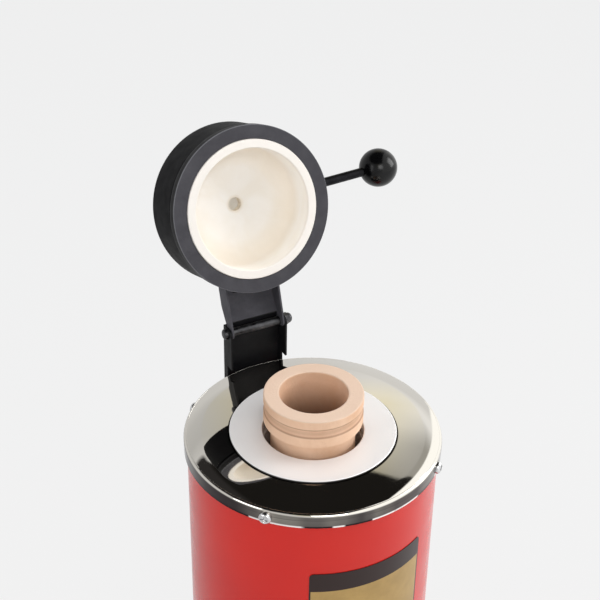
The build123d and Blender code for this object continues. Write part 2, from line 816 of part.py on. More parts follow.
with BuildPart() as bracket_spacers:
    with BuildSketch(behind.offset(web_front)):
        with Locations(*bracket_screw_places):
            Circle(spacer_radius)
        with Locations(*bracket_screw_places):
            Circle(screw_radius + screw_clear, mode=Mode.SUBTRACT)
    extrude(amount=-(web_front - body_radius + spacer_radius))
    with BuildSketch(Plane.XY.offset(bracket_low)):
        Circle(body_radius + seat)
    extrude(amount=bracket_drop, mode=Mode.SUBTRACT)
bracket_spacers.part.label = "bracket_spacers"
export_step(bracket_spacers.part, "parts/bracket_spacers.step")

with BuildPart() as bracket_screws:
    for x, z in bracket_screw_places:
        head_plane = Plane(origin=(-x, web_back, z), x_dir=(-1, 0, 0), z_dir=(0, 1, 0))
        grip = web_back - sqrt(shell_inner**2 - (bracket_screw_side + nut_flats / 2) ** 2) + 2 * seat
        pan_screw(head_plane, grip + nut_height + thread_spare, grip)
bracket_screws.part.label = "bracket_screws"
export_step(bracket_screws.part, "parts/bracket_screws.step")

arm_width = bracket_width - 2 * bracket_sheet - 2 * fit
pin_side = Plane(origin=(-bracket_width / 2, pivot_back, pivot_z), x_dir=(0, 1, 0), z_dir=(-1, 0, 0))
nut_side = Plane(origin=(bracket_width / 2, pivot_back, pivot_z), x_dir=(0, 1, 0), z_dir=(1, 0, 0))
cap_round = nut_flats / 2 * dome_share

with BuildPart() as hinge_pin:
    with BuildSketch(pin_side):
        Circle(pin_head_radius)
    extrude(amount=pin_head_height)
    fillet(hinge_pin.edges().filter_by(GeomType.CIRCLE).sort_by(Axis.X)[0], pin_head_height * dome_share)
    with BuildSketch(pin_side):
        Circle(pin_radius)
    extrude(amount=-(bracket_width + nut_height))
hinge_pin.part.label = "hinge_pin"
export_step(hinge_pin.part, "parts/hinge_pin.step")

with BuildPart() as hinge_nut:
    with BuildSketch(nut_side):
        RegularPolygon(nut_flats / 2, 6, major_radius=False)
    extrude(amount=nut_height)
    with BuildSketch(nut_side.offset(nut_height)):
        Circle(nut_flats / 2)
    extrude(amount=nut_height)
    fillet(hinge_nut.edges().filter_by(GeomType.CIRCLE).sort_by(Axis.X)[-1], cap_round)
    with BuildSketch(nut_side):
        Circle(pin_radius + seat / 2)
    extrude(amount=nut_height + seat, mode=Mode.SUBTRACT)
hinge_nut.part.label = "hinge_nut"
export_step(hinge_nut.part, "parts/hinge_nut.step")

with BuildPart() as hinge_sleeve:
    sleeve_length = arm_width - 2 * arm_sheet - 2 * fit
    with BuildSketch(Plane(origin=pivot, z_dir=(1, 0, 0))):
        Circle(sleeve_radius)
        Circle(pin_radius + pin_clear, mode=Mode.SUBTRACT)
    extrude(amount=sleeve_length / 2, both=True)
hinge_sleeve.part.label = "hinge_sleeve"
export_step(hinge_sleeve.part, "parts/hinge_sleeve.step")

arm_front = arm_back - arm_depth
arm_length = pivot_back - lid_radius + arm_depth  # long enough to reach round the lid's side
step_back = arm_back - arm_web_step
ear_turn = 90 - degrees(lean)  # the ear's round ends where it faces the bracket's web
ear_touch = (ear_radius * cos(radians(ear_turn)), ear_radius * sin(radians(ear_turn)))

with BuildPart() as hinge_arm:
    with BuildSketch(arm_side):
        with BuildLine():
            Polyline(
                ear_touch,
                arm_heel,
                (arm_web_start, step_back),
                (arm_taper_end, arm_back),
                (arm_length, arm_back),
                (arm_length, arm_front),
                (-ear_radius, arm_front),
                (-ear_radius, 0),
            )
            CenterArc((0, 0), ear_radius, ear_turn, 180 - ear_turn)
        make_face()
    extrude(amount=arm_width / 2, both=True)
    inner_back = arm_back - arm_sheet
    with BuildSketch(arm_side):
        Polygon(
            (arm_length + arm_sheet, inner_back),
            (arm_taper_end, inner_back),
            (arm_web_start, step_back - arm_sheet),
            (arm_web_start, arm_depth),
            (-arm_depth, arm_depth),
            (-arm_depth, -2 * arm_depth),
            (arm_length + arm_sheet, -2 * arm_depth),
            align=None,
        )
    extrude(amount=arm_width / 2 - arm_sheet, both=True, mode=Mode.SUBTRACT)
    nose = hinge_arm.edges().filter_by(Axis.X).filter_by(
        lambda edge: (edge.center() - pivot).dot(lid_up) < 0
        and (edge.center() - pivot).dot(lid_back) < arm_front + fit
    )
    fillet(nose, ear_radius)
    with BuildSketch(lid_plane(pin_to_face + arm_front)):
        with Locations((0, lid_radius)):
            Rectangle(arm_width, 2 * arm_pad)
    extrude(amount=arm_depth)
    with BuildSketch(lid_plane(0)):
        Circle(lid_radius + seat)
    extrude(amount=lid_depth, mode=Mode.SUBTRACT)
    with BuildSketch(arm_side):
        Circle(pin_radius + pin_clear)
    extrude(amount=bracket_width, both=True, mode=Mode.SUBTRACT)
    with BuildSketch(Plane(origin=face_centre + lid_back * pin_to_face, x_dir=(1, 0, 0), z_dir=-lid_up)):
        with GridLocations(2 * arm_screw_side, 0, 2, 1):
            Circle(screw_radius + screw_clear)
    extrude(amount=lid_radius + arm_depth, mode=Mode.SUBTRACT)
hinge_arm.part.label = "hinge_arm"
export_step(hinge_arm.part, "parts/hinge_arm.step")

with BuildPart() as arm_screws:
    screw_seat = lid_radius + arm_pad
    nut_seat = sqrt((lid_radius - lid_sheet) ** 2 - (arm_screw_side + nut_flats / 2) ** 2) - 2 * seat
    for side in (-1, 1):
        spot = face_centre + lid_back * pin_to_face - lid_up * screw_seat
        spot = spot + Vector(side * arm_screw_side, 0, 0)
        pan_screw(Plane(origin=spot, x_dir=(1, 0, 0), z_dir=-lid_up),
                  screw_seat - nut_seat + nut_height + thread_spare, screw_seat - nut_seat)
arm_screws.part.label = "arm_screws"
export_step(arm_screws.part, "parts/arm_screws.step")

# ---------------------------------------------------------------- lid
handle_out = Vector(cos(radians(handle_turn)), 0, 0) + lid_up * sin(radians(handle_turn))
handle_root = face_centre + lid_back * handle_depth
lid_inner = lid_radius - lid_sheet


def handle_plane(radius):
    """The plane across the handle's rod at that distance from the lid's axis."""
    return Plane(origin=handle_root + handle_out * radius, x_dir=lid_back, z_dir=handle_out)


with BuildPart() as lid_shell:
    with BuildSketch(lid_section):
        with Locations((0, face_sheet)):
            Rectangle(lid_radius, lid_depth - face_sheet, align=Align.MIN)
        with Locations((0, face_sheet)):
            Rectangle(lid_inner, lid_depth - face_sheet - lid_sheet, align=Align.MIN, mode=Mode.SUBTRACT)
    revolve(axis=lid_axis)
    back_rim = lid_shell.edges().filter_by(GeomType.CIRCLE).sort_by(lid_axis)[-1]
    fillet(back_rim, lid_edge)
    with BuildSketch(handle_plane(lid_inner - pocket_depth)):
        Circle(rod_radius + seat)
    extrude(amount=2 * pocket_depth, mode=Mode.SUBTRACT)
    with BuildSketch(Plane(origin=face_centre + lid_back * pin_to_face, x_dir=(1, 0, 0), z_dir=-lid_up)):
        with GridLocations(2 * arm_screw_side, 0, 2, 1):
            Circle(screw_radius + screw_clear)
    extrude(amount=lid_radius + arm_depth, mode=Mode.SUBTRACT)
lid_shell.part.label = "lid_shell"
export_step(lid_shell.part, "parts/lid_shell.step")

with BuildPart() as lid_face_ring:
    with BuildSketch(lid_section):
        with Locations((bowl_radius + fit, 0)):
            Rectangle(face_radius - bowl_radius - fit, face_sheet, align=Align.MIN)
        with Locations((lid_radius + seat / 2, 0)):
            Rectangle(face_radius - lid_radius - seat / 2, face_band, align=Align.MIN)
    revolve(axis=lid_axis)
    front_rim = lid_face_ring.edges().filter_by(GeomType.CIRCLE).group_by(lid_axis)[0]
    fillet(front_rim.sort_by(SortBy.RADIUS)[-1], face_edge)
lid_face_ring.part.label = "lid_face_ring"
export_step(lid_face_ring.part, "parts/lid_face_ring.step")

bowl_inner = bowl_radius - bowl_wall
liner_back = bowl_depth + bowl_crown

with BuildPart() as lid_bowl:
    with BuildSketch(lid_section):
        with BuildLine():
            wall = Polyline(
                (vent_radius, liner_back),
                (bowl_radius, liner_back),
                (bowl_radius, -bowl_proud),
                (bowl_inner, -bowl_proud),
                (bowl_inner, bowl_depth - bowl_round),
            )
            corner = CenterArc((bowl_inner - bowl_round, bowl_depth - bowl_round), bowl_round, 0, 90)
            Polyline(corner @ 1, (vent_radius, bowl_depth), wall @ 0)
        make_face()
    revolve(axis=lid_axis)
    rim_edges = lid_bowl.edges().filter_by(GeomType.CIRCLE).group_by(lid_axis)[0]
    fillet(rim_edges, 2 * fit)
lid_bowl.part.label = "lid_bowl"
export_step(lid_bowl.part, "parts/lid_bowl.step")

with BuildPart() as lid_insulation:
    with BuildSketch(lid_plane(face_sheet)):
        Circle(lid_inner - fit)
    extrude(amount=lid_depth - face_sheet - lid_sheet)
    with BuildSketch(lid_plane(0)):
        Circle(bowl_radius + fit)
    extrude(amount=liner_back, mode=Mode.SUBTRACT)
    with BuildSketch(handle_plane(bowl_radius - fit)):
        Circle(handle_nut_radius / cos(radians(30)) + fit)
    extrude(amount=pocket_depth, mode=Mode.SUBTRACT)
    with BuildSketch(Plane(origin=face_centre + lid_back * pin_to_face, x_dir=(1, 0, 0), z_dir=-lid_up)):
        with GridLocations(2 * arm_screw_side, 0, 2, 1):
            Circle(pocket_radius)
    extrude(amount=lid_radius, mode=Mode.SUBTRACT)
lid_insulation.part.label = "lid_insulation"
export_step(lid_insulation.part, "parts/lid_insulation.step")

with BuildPart() as handle_rod:
    rod_start = bowl_radius + 2 * fit
    with BuildSketch(handle_plane(rod_start)):
        Circle(rod_radius)
    extrude(amount=knob_reach - knob_radius + knob_socket - seat - rod_start)
handle_rod.part.label = "handle_rod"
export_step(handle_rod.part, "parts/handle_rod.step")

with BuildPart() as handle_nut:
    with BuildSketch(handle_plane(lid_inner - 2 * fit)):
        RegularPolygon(handle_nut_radius, 6, major_radius=False)
        Circle(rod_radius + seat / 2, mode=Mode.SUBTRACT)
    extrude(amount=-nut_height)
handle_nut.part.label = "handle_nut"
export_step(handle_nut.part, "parts/handle_nut.step")

with BuildPart(handle_plane(knob_reach)) as ball_knob:
    Sphere(knob_radius)
    with BuildSketch(handle_plane(knob_reach - knob_radius)):
        Circle(rod_radius + seat / 2)
    extrude(amount=knob_socket, mode=Mode.SUBTRACT)
ball_knob.part.label = "ball_knob"
export_step(ball_knob.part, "parts/ball_knob.step")

# ---------------------------------------------------------------- controls
panel_controller = Plane(
    origin=panel_middle + Vector(controller_offset, 0, 0), x_dir=(1, 0, 0), z_dir=panel_out
)
panel_switch = Plane(origin=panel_middle + Vector(switch_offset, 0, 0), x_dir=(1, 0, 0), z_dir=panel_out)
button_places = [(button_pitch * (index - 1.5), button_offset) for index in range(4)]

with BuildPart() as controller_bezel:
    with BuildSketch(panel_controller):
        RectangleRounded(bezel_side, bezel_side, bezel_corner)
    extrude(amount=bezel_height)
    front_rim = controller_bezel.faces().sort_by(Axis(panel_middle, panel_out))[-1].edges()
    fillet(front_rim, bezel_corner / 2)
    with BuildSketch(panel_controller.offset(bezel_height)):
        with Locations((0, window_offset)):
            Rectangle(window_width, window_height)
    extrude(amount=-window_thickness, mode=Mode.SUBTRACT)
    with BuildSketch(panel_controller.offset(bezel_height)):
        with Locations(*button_places):
            Rectangle(button_width + 2 * fit, button_height + 2 * fit)
    extrude(amount=-bezel_height, mode=Mode.SUBTRACT)
controller_bezel.part.label = "controller_bezel"
export_step(controller_bezel.part, "parts/controller_bezel.step")

with BuildPart() as controller_window:
    with BuildSketch(panel_controller.offset(bezel_height - window_thickness)):
        with Locations((0, window_offset)):
            Rectangle(window_width - seat, window_height - seat)
    extrude(amount=window_thickness - seat)
controller_window.part.label = "controller_window"
export_step(controller_window.part, "parts/controller_window.step")

with BuildPart() as controller_body:
    with BuildSketch(panel_controller):
        Rectangle(controller_side, controller_side)
    extrude(amount=-controller_depth)
    with BuildSketch(panel_controller.offset(-controller_depth)):
        with GridLocations(controller_side / 4, 0, 4, 1):
            Rectangle(controller_side / 8, controller_side / 2)
    extrude(amount=2 * window_thickness, mode=Mode.SUBTRACT)
controller_body.part.label = "controller_body"
export_step(controller_body.part, "parts/controller_body.step")

with BuildPart() as controller_clamp:
    with BuildSketch(panel_controller.offset(-box_sheet)):
        Rectangle(clamp_side, clamp_side)
        Rectangle(controller_side + 2 * seat, controller_side + 2 * seat, mode=Mode.SUBTRACT)
    extrude(amount=-clamp_thickness)
controller_clamp.part.label = "controller_clamp"
export_step(controller_clamp.part, "parts/controller_clamp.step")

for number, (across, along) in enumerate(button_places, start=1):
    with BuildPart() as controller_button:
        with BuildSketch(panel_controller.offset(button_travel + fit)):
            with Locations((across, along)):
                Rectangle(button_width, button_height)
        extrude(amount=bezel_height - button_travel - fit + button_proud)
        cap_rim = controller_button.faces().sort_by(Axis(panel_middle, panel_out))[-1].edges()
        fillet(cap_rim, button_proud / 2)
    controller_button.part.label = f"controller_button_{number}"
    export_step(controller_button.part, f"parts/controller_button_{number}.step")

with BuildPart() as switch_body:
    with BuildSketch(panel_switch):
        RectangleRounded(switch_width, switch_height, bezel_corner)
    extrude(amount=switch_bezel)
    front_rim = switch_body.faces().sort_by(Axis(panel_middle, panel_out))[-1].edges()
    fillet(front_rim, switch_bezel / 3)
    with BuildSketch(panel_switch):
        Rectangle(switch_body_width, switch_body_height)
    extrude(amount=-switch_body_depth)
    with BuildSketch(panel_switch.offset(switch_bezel)):
        Rectangle(rocker_width + 2 * fit, 2 * (rocker_reach + fit))
    extrude(amount=-(switch_bezel + rocker_pivot_depth + rocker_root + 4 * fit), mode=Mode.SUBTRACT)
    with BuildSketch(Plane(origin=panel_switch.origin - panel_out * rocker_pivot_depth, z_dir=(1, 0, 0))):
        Circle(axle_radius)
    extrude(amount=switch_body_width / 2, both=True)
    for side in (-1, 1):
        with BuildSketch(panel_switch.offset(-switch_body_depth)):
            with Locations((side * switch_body_width / 4, 0)):
                with GridLocations(0, switch_body_height / 2, 1, 2):
                    Rectangle(blade_thickness / 2, blade_width)
        extrude(amount=-blade_tail)
switch_body.part.label = "switch_body"
export_step(switch_body.part, "parts/switch_body.step")

rocker_pivot = panel_switch.origin - panel_out * rocker_pivot_depth
rocker_along = panel_across * cos(radians(rocker_tilt)) + panel_out * sin(radians(rocker_tilt))
rocker_rest = Plane(origin=rocker_pivot, x_dir=rocker_along, z_dir=(-1, 0, 0))

with BuildPart() as power_rocker:
    with BuildSketch(rocker_rest):
        Polygon(
            (-2 * rocker_reach, -2 * (rocker_crest - rocker_valley) - rocker_valley),
            (0, -rocker_valley - 2 * axle_radius / 3),
            (2 * rocker_reach, -2 * (rocker_crest - rocker_valley) - rocker_valley),
            (2 * rocker_reach, rocker_root),
            (-2 * rocker_reach, rocker_root),
            align=None,
        )
        Circle(rocker_reach, mode=Mode.INTERSECT)
    extrude(amount=rocker_width / 2, both=True)
    with BuildSketch(rocker_rest):
        Circle(axle_radius + pin_clear)
    extrude(amount=rocker_width, both=True, mode=Mode.SUBTRACT)
power_rocker.part.label = "power_rocker"
export_step(power_rocker.part, "parts/power_rocker.step")

with BuildPart() as inlet_socket:
    with BuildSketch(back_wall):
        RectangleRounded(inlet_flange_width, inlet_flange_height, inlet_corner)
        with GridLocations(inlet_screw_pitch, 0, 2, 1):
            Circle(screw_radius + screw_clear, mode=Mode.SUBTRACT)
    extrude(amount=inlet_flange)
    with BuildSketch(back_wall):
        Rectangle(inlet_body_width, inlet_body_height)
    extrude(amount=-inlet_body_depth)
    with BuildSketch(back_wall.offset(inlet_flange)):
        Rectangle(inlet_mouth_width, inlet_mouth_height)
    extrude(amount=-inlet_mouth_depth, mode=Mode.SUBTRACT)
    mouth_corners = inlet_socket.edges().filter_by(Axis.Y).filter_by(
        lambda edge: abs(edge.center().X - inlet_offset) < inlet_mouth_width / 2 + seat
        and abs(edge.center().Z - inlet_z) < inlet_mouth_height / 2 + seat
        and edge.center().Z > inlet_z
    )
    chamfer(mouth_corners, inlet_corner)
    blade_places = [(-blade_spread, -blade_rise), (0, blade_rise), (blade_spread, -blade_rise)]
    with BuildSketch(back_wall.offset(-inlet_body_depth)):
        with Locations(*blade_places):
            Rectangle(blade_thickness + seat, blade_width + seat)
    extrude(amount=inlet_body_depth, mode=Mode.SUBTRACT)
inlet_socket.part.label = "inlet_socket"
export_step(inlet_socket.part, "parts/inlet_socket.step")

with BuildPart() as inlet_blades:
    mouth_floor = inlet_flange - inlet_mouth_depth
    with BuildSketch(back_wall.offset(-inlet_body_depth - blade_tail)):
        with Locations(*blade_places):
            Rectangle(blade_thickness, blade_width)
    extrude(amount=inlet_body_depth + blade_tail + mouth_floor + blade_length)
inlet_blades.part.label = "inlet_blades"
export_step(inlet_blades.part, "parts/inlet_blades.step")

with BuildPart() as inlet_screws:
    for side in (-1, 1):
        spot = back_wall.origin + Vector(side * inlet_screw_pitch / 2, inlet_flange, 0)
        grip = inlet_flange + box_sheet
        flange_plane = Plane(origin=spot, x_dir=(-1, 0, 0), z_dir=(0, 1, 0))
        pan_screw(flange_plane, grip + nut_height + thread_spare, grip)
inlet_screws.part.label = "inlet_screws"
export_step(inlet_screws.part, "parts/inlet_screws.step")

# ---------------------------------------------------------------- parts on the tray
with BuildPart() as solid_state_relay:
    with BuildSketch(Plane.XY.offset(tray_top)):
        with Locations(relay_place):
            Rectangle(relay_width, relay_length)
    extrude(amount=relay_base)
    with BuildSketch(Plane.XY.offset(tray_top + relay_base)):
        with Locations(relay_place):
            Rectangle(relay_width, relay_length * relay_body_share)
    extrude(amount=relay_height - relay_base)
    with BuildSketch(Plane.XY.offset(tray_top + relay_base)):
        with Locations(relay_place):
            with GridLocations(relay_width / 2, relay_length * (1 + relay_body_share) / 2, 2, 2):
                Circle(screw_head_radius)
    extrude(amount=screw_head_height)
solid_state_relay.part.label = "solid_state_relay"
export_step(solid_state_relay.part, "parts/solid_state_relay.step")

with BuildPart() as terminal_block:
    with BuildSketch(Plane.XY.offset(tray_top)):
        with Locations(terminal_place):
            Rectangle(terminal_length, terminal_width)
    extrude(amount=terminal_height)
    pole_pitch = terminal_length / terminal_poles
    with BuildSketch(Plane.XY.offset(tray_top + terminal_height)):
        with Locations(terminal_place):
            with GridLocations(pole_pitch, terminal_width / 2, terminal_poles, 2):
                Rectangle(pole_pitch * pole_share, terminal_width / 4)
    extrude(amount=-terminal_height / 2, mode=Mode.SUBTRACT)
terminal_block.part.label = "terminal_block"
export_step(terminal_block.part, "parts/terminal_block.step")

# ---------------------------------------------------------------- wires inside the box
def bend_radii(points):
    """For each corner of a route, the largest arc that its two runs allow."""
    radii = []
    for before, here, after in zip(points, points[1:], points[2:]):
        half_turn = radians((here - before).get_angle(after - here)) / 2
        radii.append(0.45 * min((here - before).length, (after - here).length) / tan(half_turn))
    return radii


def lead_path(points):
    """A wire along a route of straight runs and arcs, square to what it meets at both ends."""
    route = [Vector(*point) for point in points]
    radii = bend_radii(route)
    print("lead: bend radii", [round(radius, 1) for radius in radii], "mm")
    with BuildLine() as path:
        FilletPolyline(*route, radius=radii)
    with BuildSketch(Plane(origin=route[0], z_dir=route[1] - route[0])) as section:
        Circle(lead_diameter / 2)
    sweep(section.sketch, path=path.line)


relay_x, relay_y = relay_place
relay_top = tray_top + relay_height
relay_front = relay_y - relay_length * relay_body_share / 2
terminal_x, terminal_y = terminal_place
terminal_top = tray_top + terminal_height
pole_places = [
    Vector(terminal_x + pole_pitch * (index - (terminal_poles - 1) / 2), terminal_y, terminal_top)
    for index in range(terminal_poles)
]
controller_back = panel_controller.origin - panel_out * controller_depth
switch_tail = panel_switch.origin - panel_out * (switch_body_depth + blade_tail)
switch_tail = switch_tail + panel_across * (switch_body_height / 4)
switch_side = Vector(switch_body_width / 4, 0, 0)
inward = -panel_out * lead_start
forward = Vector(0, -lead_start, 0)
down = Vector(0, 0, -1.5 * lead_start)
up = Vector(0, 0, 1.2 * lead_start)
low_post = Vector(*polar_place(post_angles[1], post_radius), post_low)
high_post = Vector(*polar_place(post_angles[0], post_radius), post_low)
probe_end = Vector(*probe_place, post_low)

with BuildPart() as heater_wires:
    output = Vector(relay_x - lead_spread, relay_y + lead_spread, relay_top)
    lead_path([high_post, high_post + down, output + up, output])
    pole = pole_places[3]
    lead_path([low_post, low_post + down, *heater_route, pole + up, pole])
heater_wires.part.label = "heater_wires"
export_step(heater_wires.part, "parts/heater_wires.step")

with BuildPart() as mains_wires:
    blade_end = Vector(inlet_offset, base_back - inlet_body_depth - blade_tail, inlet_z)
    for side, pole in ((-1, pole_places[1]), (1, pole_places[2])):
        start = blade_end + Vector(side * blade_spread, 0, -blade_rise)
        lead_path([start, start + forward, pole + up, pole])
    earth = blade_end + Vector(0, 0, blade_rise)
    lug = Vector(*earth_lug, tray_top)
    lead_path([earth, earth + forward, *earth_route, lug + up, lug])
    pole = pole_places[4]
    feed = switch_tail - switch_side
    lead_path([feed, feed + inward, *feed_route, pole + up, pole])
    load = switch_tail + switch_side
    supply = Vector(relay_x + lead_spread, relay_front, (tray_top + relay_top) / 2)
    lead_path([load, load + inward, *load_route, supply + 2 * forward, supply])
mains_wires.part.label = "mains_wires"
export_step(mains_wires.part, "parts/mains_wires.step")

with BuildPart() as signal_wires:
    lead_path([probe_end, probe_end + down, *probe_route, controller_back + inward, controller_back])
    drive = controller_back + Vector(lead_spread, 0, 0)
    trigger = Vector(relay_x - lead_spread, relay_front, (tray_top + relay_top) / 2)
    lead_path([drive, drive + inward, *signal_route, trigger + 2 * forward, trigger])
signal_wires.part.label = "signal_wires"
export_step(signal_wires.part, "parts/signal_wires.step")
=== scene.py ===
from math import atan2, cos, radians, sin, tau

import bmesh
import bpy
from mathutils import Matrix, Vector


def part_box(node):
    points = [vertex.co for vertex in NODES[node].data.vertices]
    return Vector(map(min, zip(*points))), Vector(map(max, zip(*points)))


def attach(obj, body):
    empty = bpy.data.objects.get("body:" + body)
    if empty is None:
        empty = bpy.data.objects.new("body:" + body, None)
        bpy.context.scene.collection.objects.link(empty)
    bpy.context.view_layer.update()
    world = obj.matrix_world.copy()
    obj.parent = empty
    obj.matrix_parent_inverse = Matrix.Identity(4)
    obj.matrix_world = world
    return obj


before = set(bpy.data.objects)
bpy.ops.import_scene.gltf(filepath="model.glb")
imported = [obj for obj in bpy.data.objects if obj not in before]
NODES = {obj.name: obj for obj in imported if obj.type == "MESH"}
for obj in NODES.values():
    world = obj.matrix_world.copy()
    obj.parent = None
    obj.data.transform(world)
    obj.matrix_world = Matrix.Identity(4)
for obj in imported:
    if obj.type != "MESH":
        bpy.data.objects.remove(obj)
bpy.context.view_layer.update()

MM = 0.001
RIGHT = Vector((1, 0, 0))
TO_RIGHT = (0.875, -0.484, 0)  # level, and towards the photograph's right

# -------------------------------------------------- places taken over from the CAD model, in metres
COVER_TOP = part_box("top_cover")[1][2]
CRUCIBLE_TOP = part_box("crucible")[1][2]
COVER_R = 80 * MM
BODY_R = 78 * MM
PLATE_TOP = COVER_TOP - 47 * MM
PLATE_LOW = PLATE_TOP - 62 * MM
PLATE_HALF_ARC = radians(29) * BODY_R

pin_low, pin_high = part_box("hinge_pin")
PIVOT = (Vector(pin_low) + Vector(pin_high)) / 2
PIVOT.x = 0
PIVOT_BACK = 82 * MM
PIVOT_RISE = 28.2 * MM
CLOSED_FACE_RISE = 2.5 * MM  # the shut lid's face above the cover
LEAN = radians(18.4)  # of the open lid, from upright
LID_UP = Vector((0, sin(LEAN), cos(LEAN)))
LID_BACK = Vector((0, cos(LEAN), -sin(LEAN)))
FACE = PIVOT + LID_UP * PIVOT_BACK - LID_BACK * (PIVOT_RISE - CLOSED_FACE_RISE)

PANEL_FRONT = Vector((0, -137, 42)) * MM
PANEL_BACK = Vector((0, -88, 92)) * MM
PANEL_MID = (PANEL_FRONT + PANEL_BACK) / 2
PANEL_UP = (PANEL_BACK - PANEL_FRONT).normalized()
PANEL_OUT = RIGHT.cross(PANEL_UP)
CONTROLLER = PANEL_MID - RIGHT * 42 * MM
SWITCH = PANEL_MID + RIGHT * 54 * MM

# -------------------------------------------------- sizes that the materials' zones follow, in millimetres
SKIRT = 9.6  # from the cover's top to the skirt's lower edge
SKIRT_START = 1.6  # about where the rounded rim turns into the skirt
RING_R = 51.9
RING_THICK = 1.5
MOUTH_R = 31.5
CRUCIBLE_BORE_R = 21.2
CRUCIBLE_OUTSIDE_R = 27.0  # the crucible's outer surface lies further out
LID_R = 52.0
RIDGE_DEPTH = 5.4  # from the lid's face to a painted highlight line on the face ring's band
SEAM_DEPTH = 7.6  # from the lid's face to the seam behind that band
VENT_R = 4.4
PLATE_HEADER = 14
PLATE_BORDER = 1.0

# the polished sheet isn't quite flat: it has a crown and rolls over at its rim
CROWN = 0.95  # fall per metre, times the squared radius
ROLL = 11.0  # the same, for the part outside ROLL_START
ROLL_START = 69 * MM


# -------------------------------------------------- camera, at the photograph's place
PICTURE_SIDE = 600  # pixels
PICTURE_CENTRE = (312.93, 429.45)  # where the cover's middle lies in the picture, in pixels
FOCAL = 1316.317  # pixels
SENSOR = 36  # millimetres


def make_camera():
    """It looks at the cover's middle from 0.82 m, and is then turned to put that point in its pixel."""
    elevation, azimuth, roll = radians(37.639), radians(28.959), radians(1.4375)
    distance = 0.82
    target = Vector((0, 0, COVER_TOP))
    back = Vector((-cos(elevation) * sin(azimuth), -cos(elevation) * cos(azimuth), sin(elevation)))
    right = Vector((0, 0, 1)).cross(back).normalized()
    look = Matrix((right, back.cross(right), back))
    half = PICTURE_SIDE / 2
    aim = Vector((PICTURE_CENTRE[0] - half, half - PICTURE_CENTRE[1], -FOCAL)).normalized()
    turn = Vector((0, 0, -1)).rotation_difference(aim).to_matrix()
    rolled = Matrix.Rotation(roll, 3, aim)
    data = bpy.data.cameras.new("camera")
    data.sensor_width = SENSOR
    data.lens = FOCAL * SENSOR / PICTURE_SIDE
    data.clip_start = 0.01
    camera = bpy.data.objects.new("camera", data)
    bpy.context.scene.collection.objects.link(camera)
    facing = (rolled @ turn @ look).transposed().to_4x4()
    camera.matrix_world = Matrix.Translation(target + back * distance) @ facing
    bpy.context.scene.camera = camera


make_camera()
bpy.context.scene.view_settings.view_transform = "Standard"


# -------------------------------------------------- node trees
class Nodes:
    """A node tree under construction: most calls add nodes and return an output socket."""

    def __init__(self, tree, coordinates):
        self.tree = tree
        self.coord = self.node("ShaderNodeTexCoord").outputs[coordinates]

    def node(self, kind, **settings):
        made = self.tree.nodes.new(kind)
        for key, value in settings.items():
            setattr(made, key, value)
        return made

    def put(self, node, key, value):
        """Link a socket to a node's input, or set the input to a number, a vector or a colour."""
        target = node.inputs[key]
        if isinstance(value, bpy.types.NodeSocket):
            self.tree.links.new(value, target)
        elif target.type == "RGBA":
            target.default_value = (*value, 1)
        else:
            target.default_value = value

    def filled(self, node, *values):
        """The node's first output, with its inputs set in their order."""
        for index, value in enumerate(values):
            self.put(node, index, value)
        return node.outputs[0]

    def math(self, operation, *values):
        return self.filled(self.node("ShaderNodeMath", operation=operation), *values)

    def times(self, first, second):
        return self.math("MULTIPLY", first, second)

    def hypotenuse(self, first, second):
        squares = self.math("ADD", self.times(first, first), self.times(second, second))
        return self.math("SQRT", squares)

    def vector(self, operation, *values):
        made = self.node("ShaderNodeVectorMath", operation=operation)
        self.filled(made, *values)
        return made.outputs["Value" if operation == "DOT_PRODUCT" else "Vector"]

    def combine(self, x=0.0, y=0.0, z=0.0):
        return self.filled(self.node("ShaderNodeCombineXYZ"), x, y, z)

    def split(self, source=None):
        made = self.node("ShaderNodeSeparateXYZ")
        self.put(made, 0, source or self.coord)
        return made.outputs

    def span(self, value, low, high, to_low=0.0, to_high=1.0):
        """From to_low at low to to_high at high, and level beyond both."""
        return self.filled(self.node("ShaderNodeMapRange", clamp=True), value, low, high, to_low, to_high)

    def zone(self, value, low, high):
        """From 0 at low to 1 at high, in millimetres."""
        return self.span(value, low * MM, high * MM)

    def band(self, value, start, full, leave, end):
        """1 from full to leave and 0 outside start and end, in millimetres."""
        return self.times(self.zone(value, start, full), self.zone(value, end, leave))

    def near(self, value, middle, full, end):
        """1 within full of the middle and 0 beyond end, in millimetres."""
        off = self.math("ABSOLUTE", self.math("SUBTRACT", value, middle * MM))
        return self.zone(off, end, full)

    def ramp(self, fac, stops):
        """Stops are pairs of a place and a colour or a shade of grey."""
        made = self.node("ShaderNodeValToRGB")
        ends = made.color_ramp.elements
        while len(ends) < len(stops):
            ends.new(0.5)
        for element, (position, colour) in zip(ends, stops):
            element.position = position
            element.color = (*colour, 1) if isinstance(colour, tuple) else (colour, colour, colour, 1)
        return self.filled(made, fac)

    def mix(self, fac, first, second, blend="MIX"):
        """A colour between two, the second where fac is 1."""
        made = self.node("ShaderNodeMix", data_type="RGBA", blend_type=blend)
        for index, value in ((0, fac), (6, first), (7, second)):
            self.put(made, index, value)
        return made.outputs[2]

    def mix_numbers(self, fac, first, second):
        """A number between two, the second where fac is 1."""
        made = self.node("ShaderNodeMix")
        for index, value in ((0, fac), (2, first), (3, second)):
            self.put(made, index, value)
        return made.outputs[0]

    def mottled(self, noise, first, second, low=0.35, high=0.65):
        """Two colours, blended where the noise lies between low and high."""
        return self.mix(self.span(noise, low, high), first, second)

    def choose(self, fac, first, second):
        """A mixed shader, the second where fac is 1."""
        return self.filled(self.node("ShaderNodeMixShader"), fac, first, second)


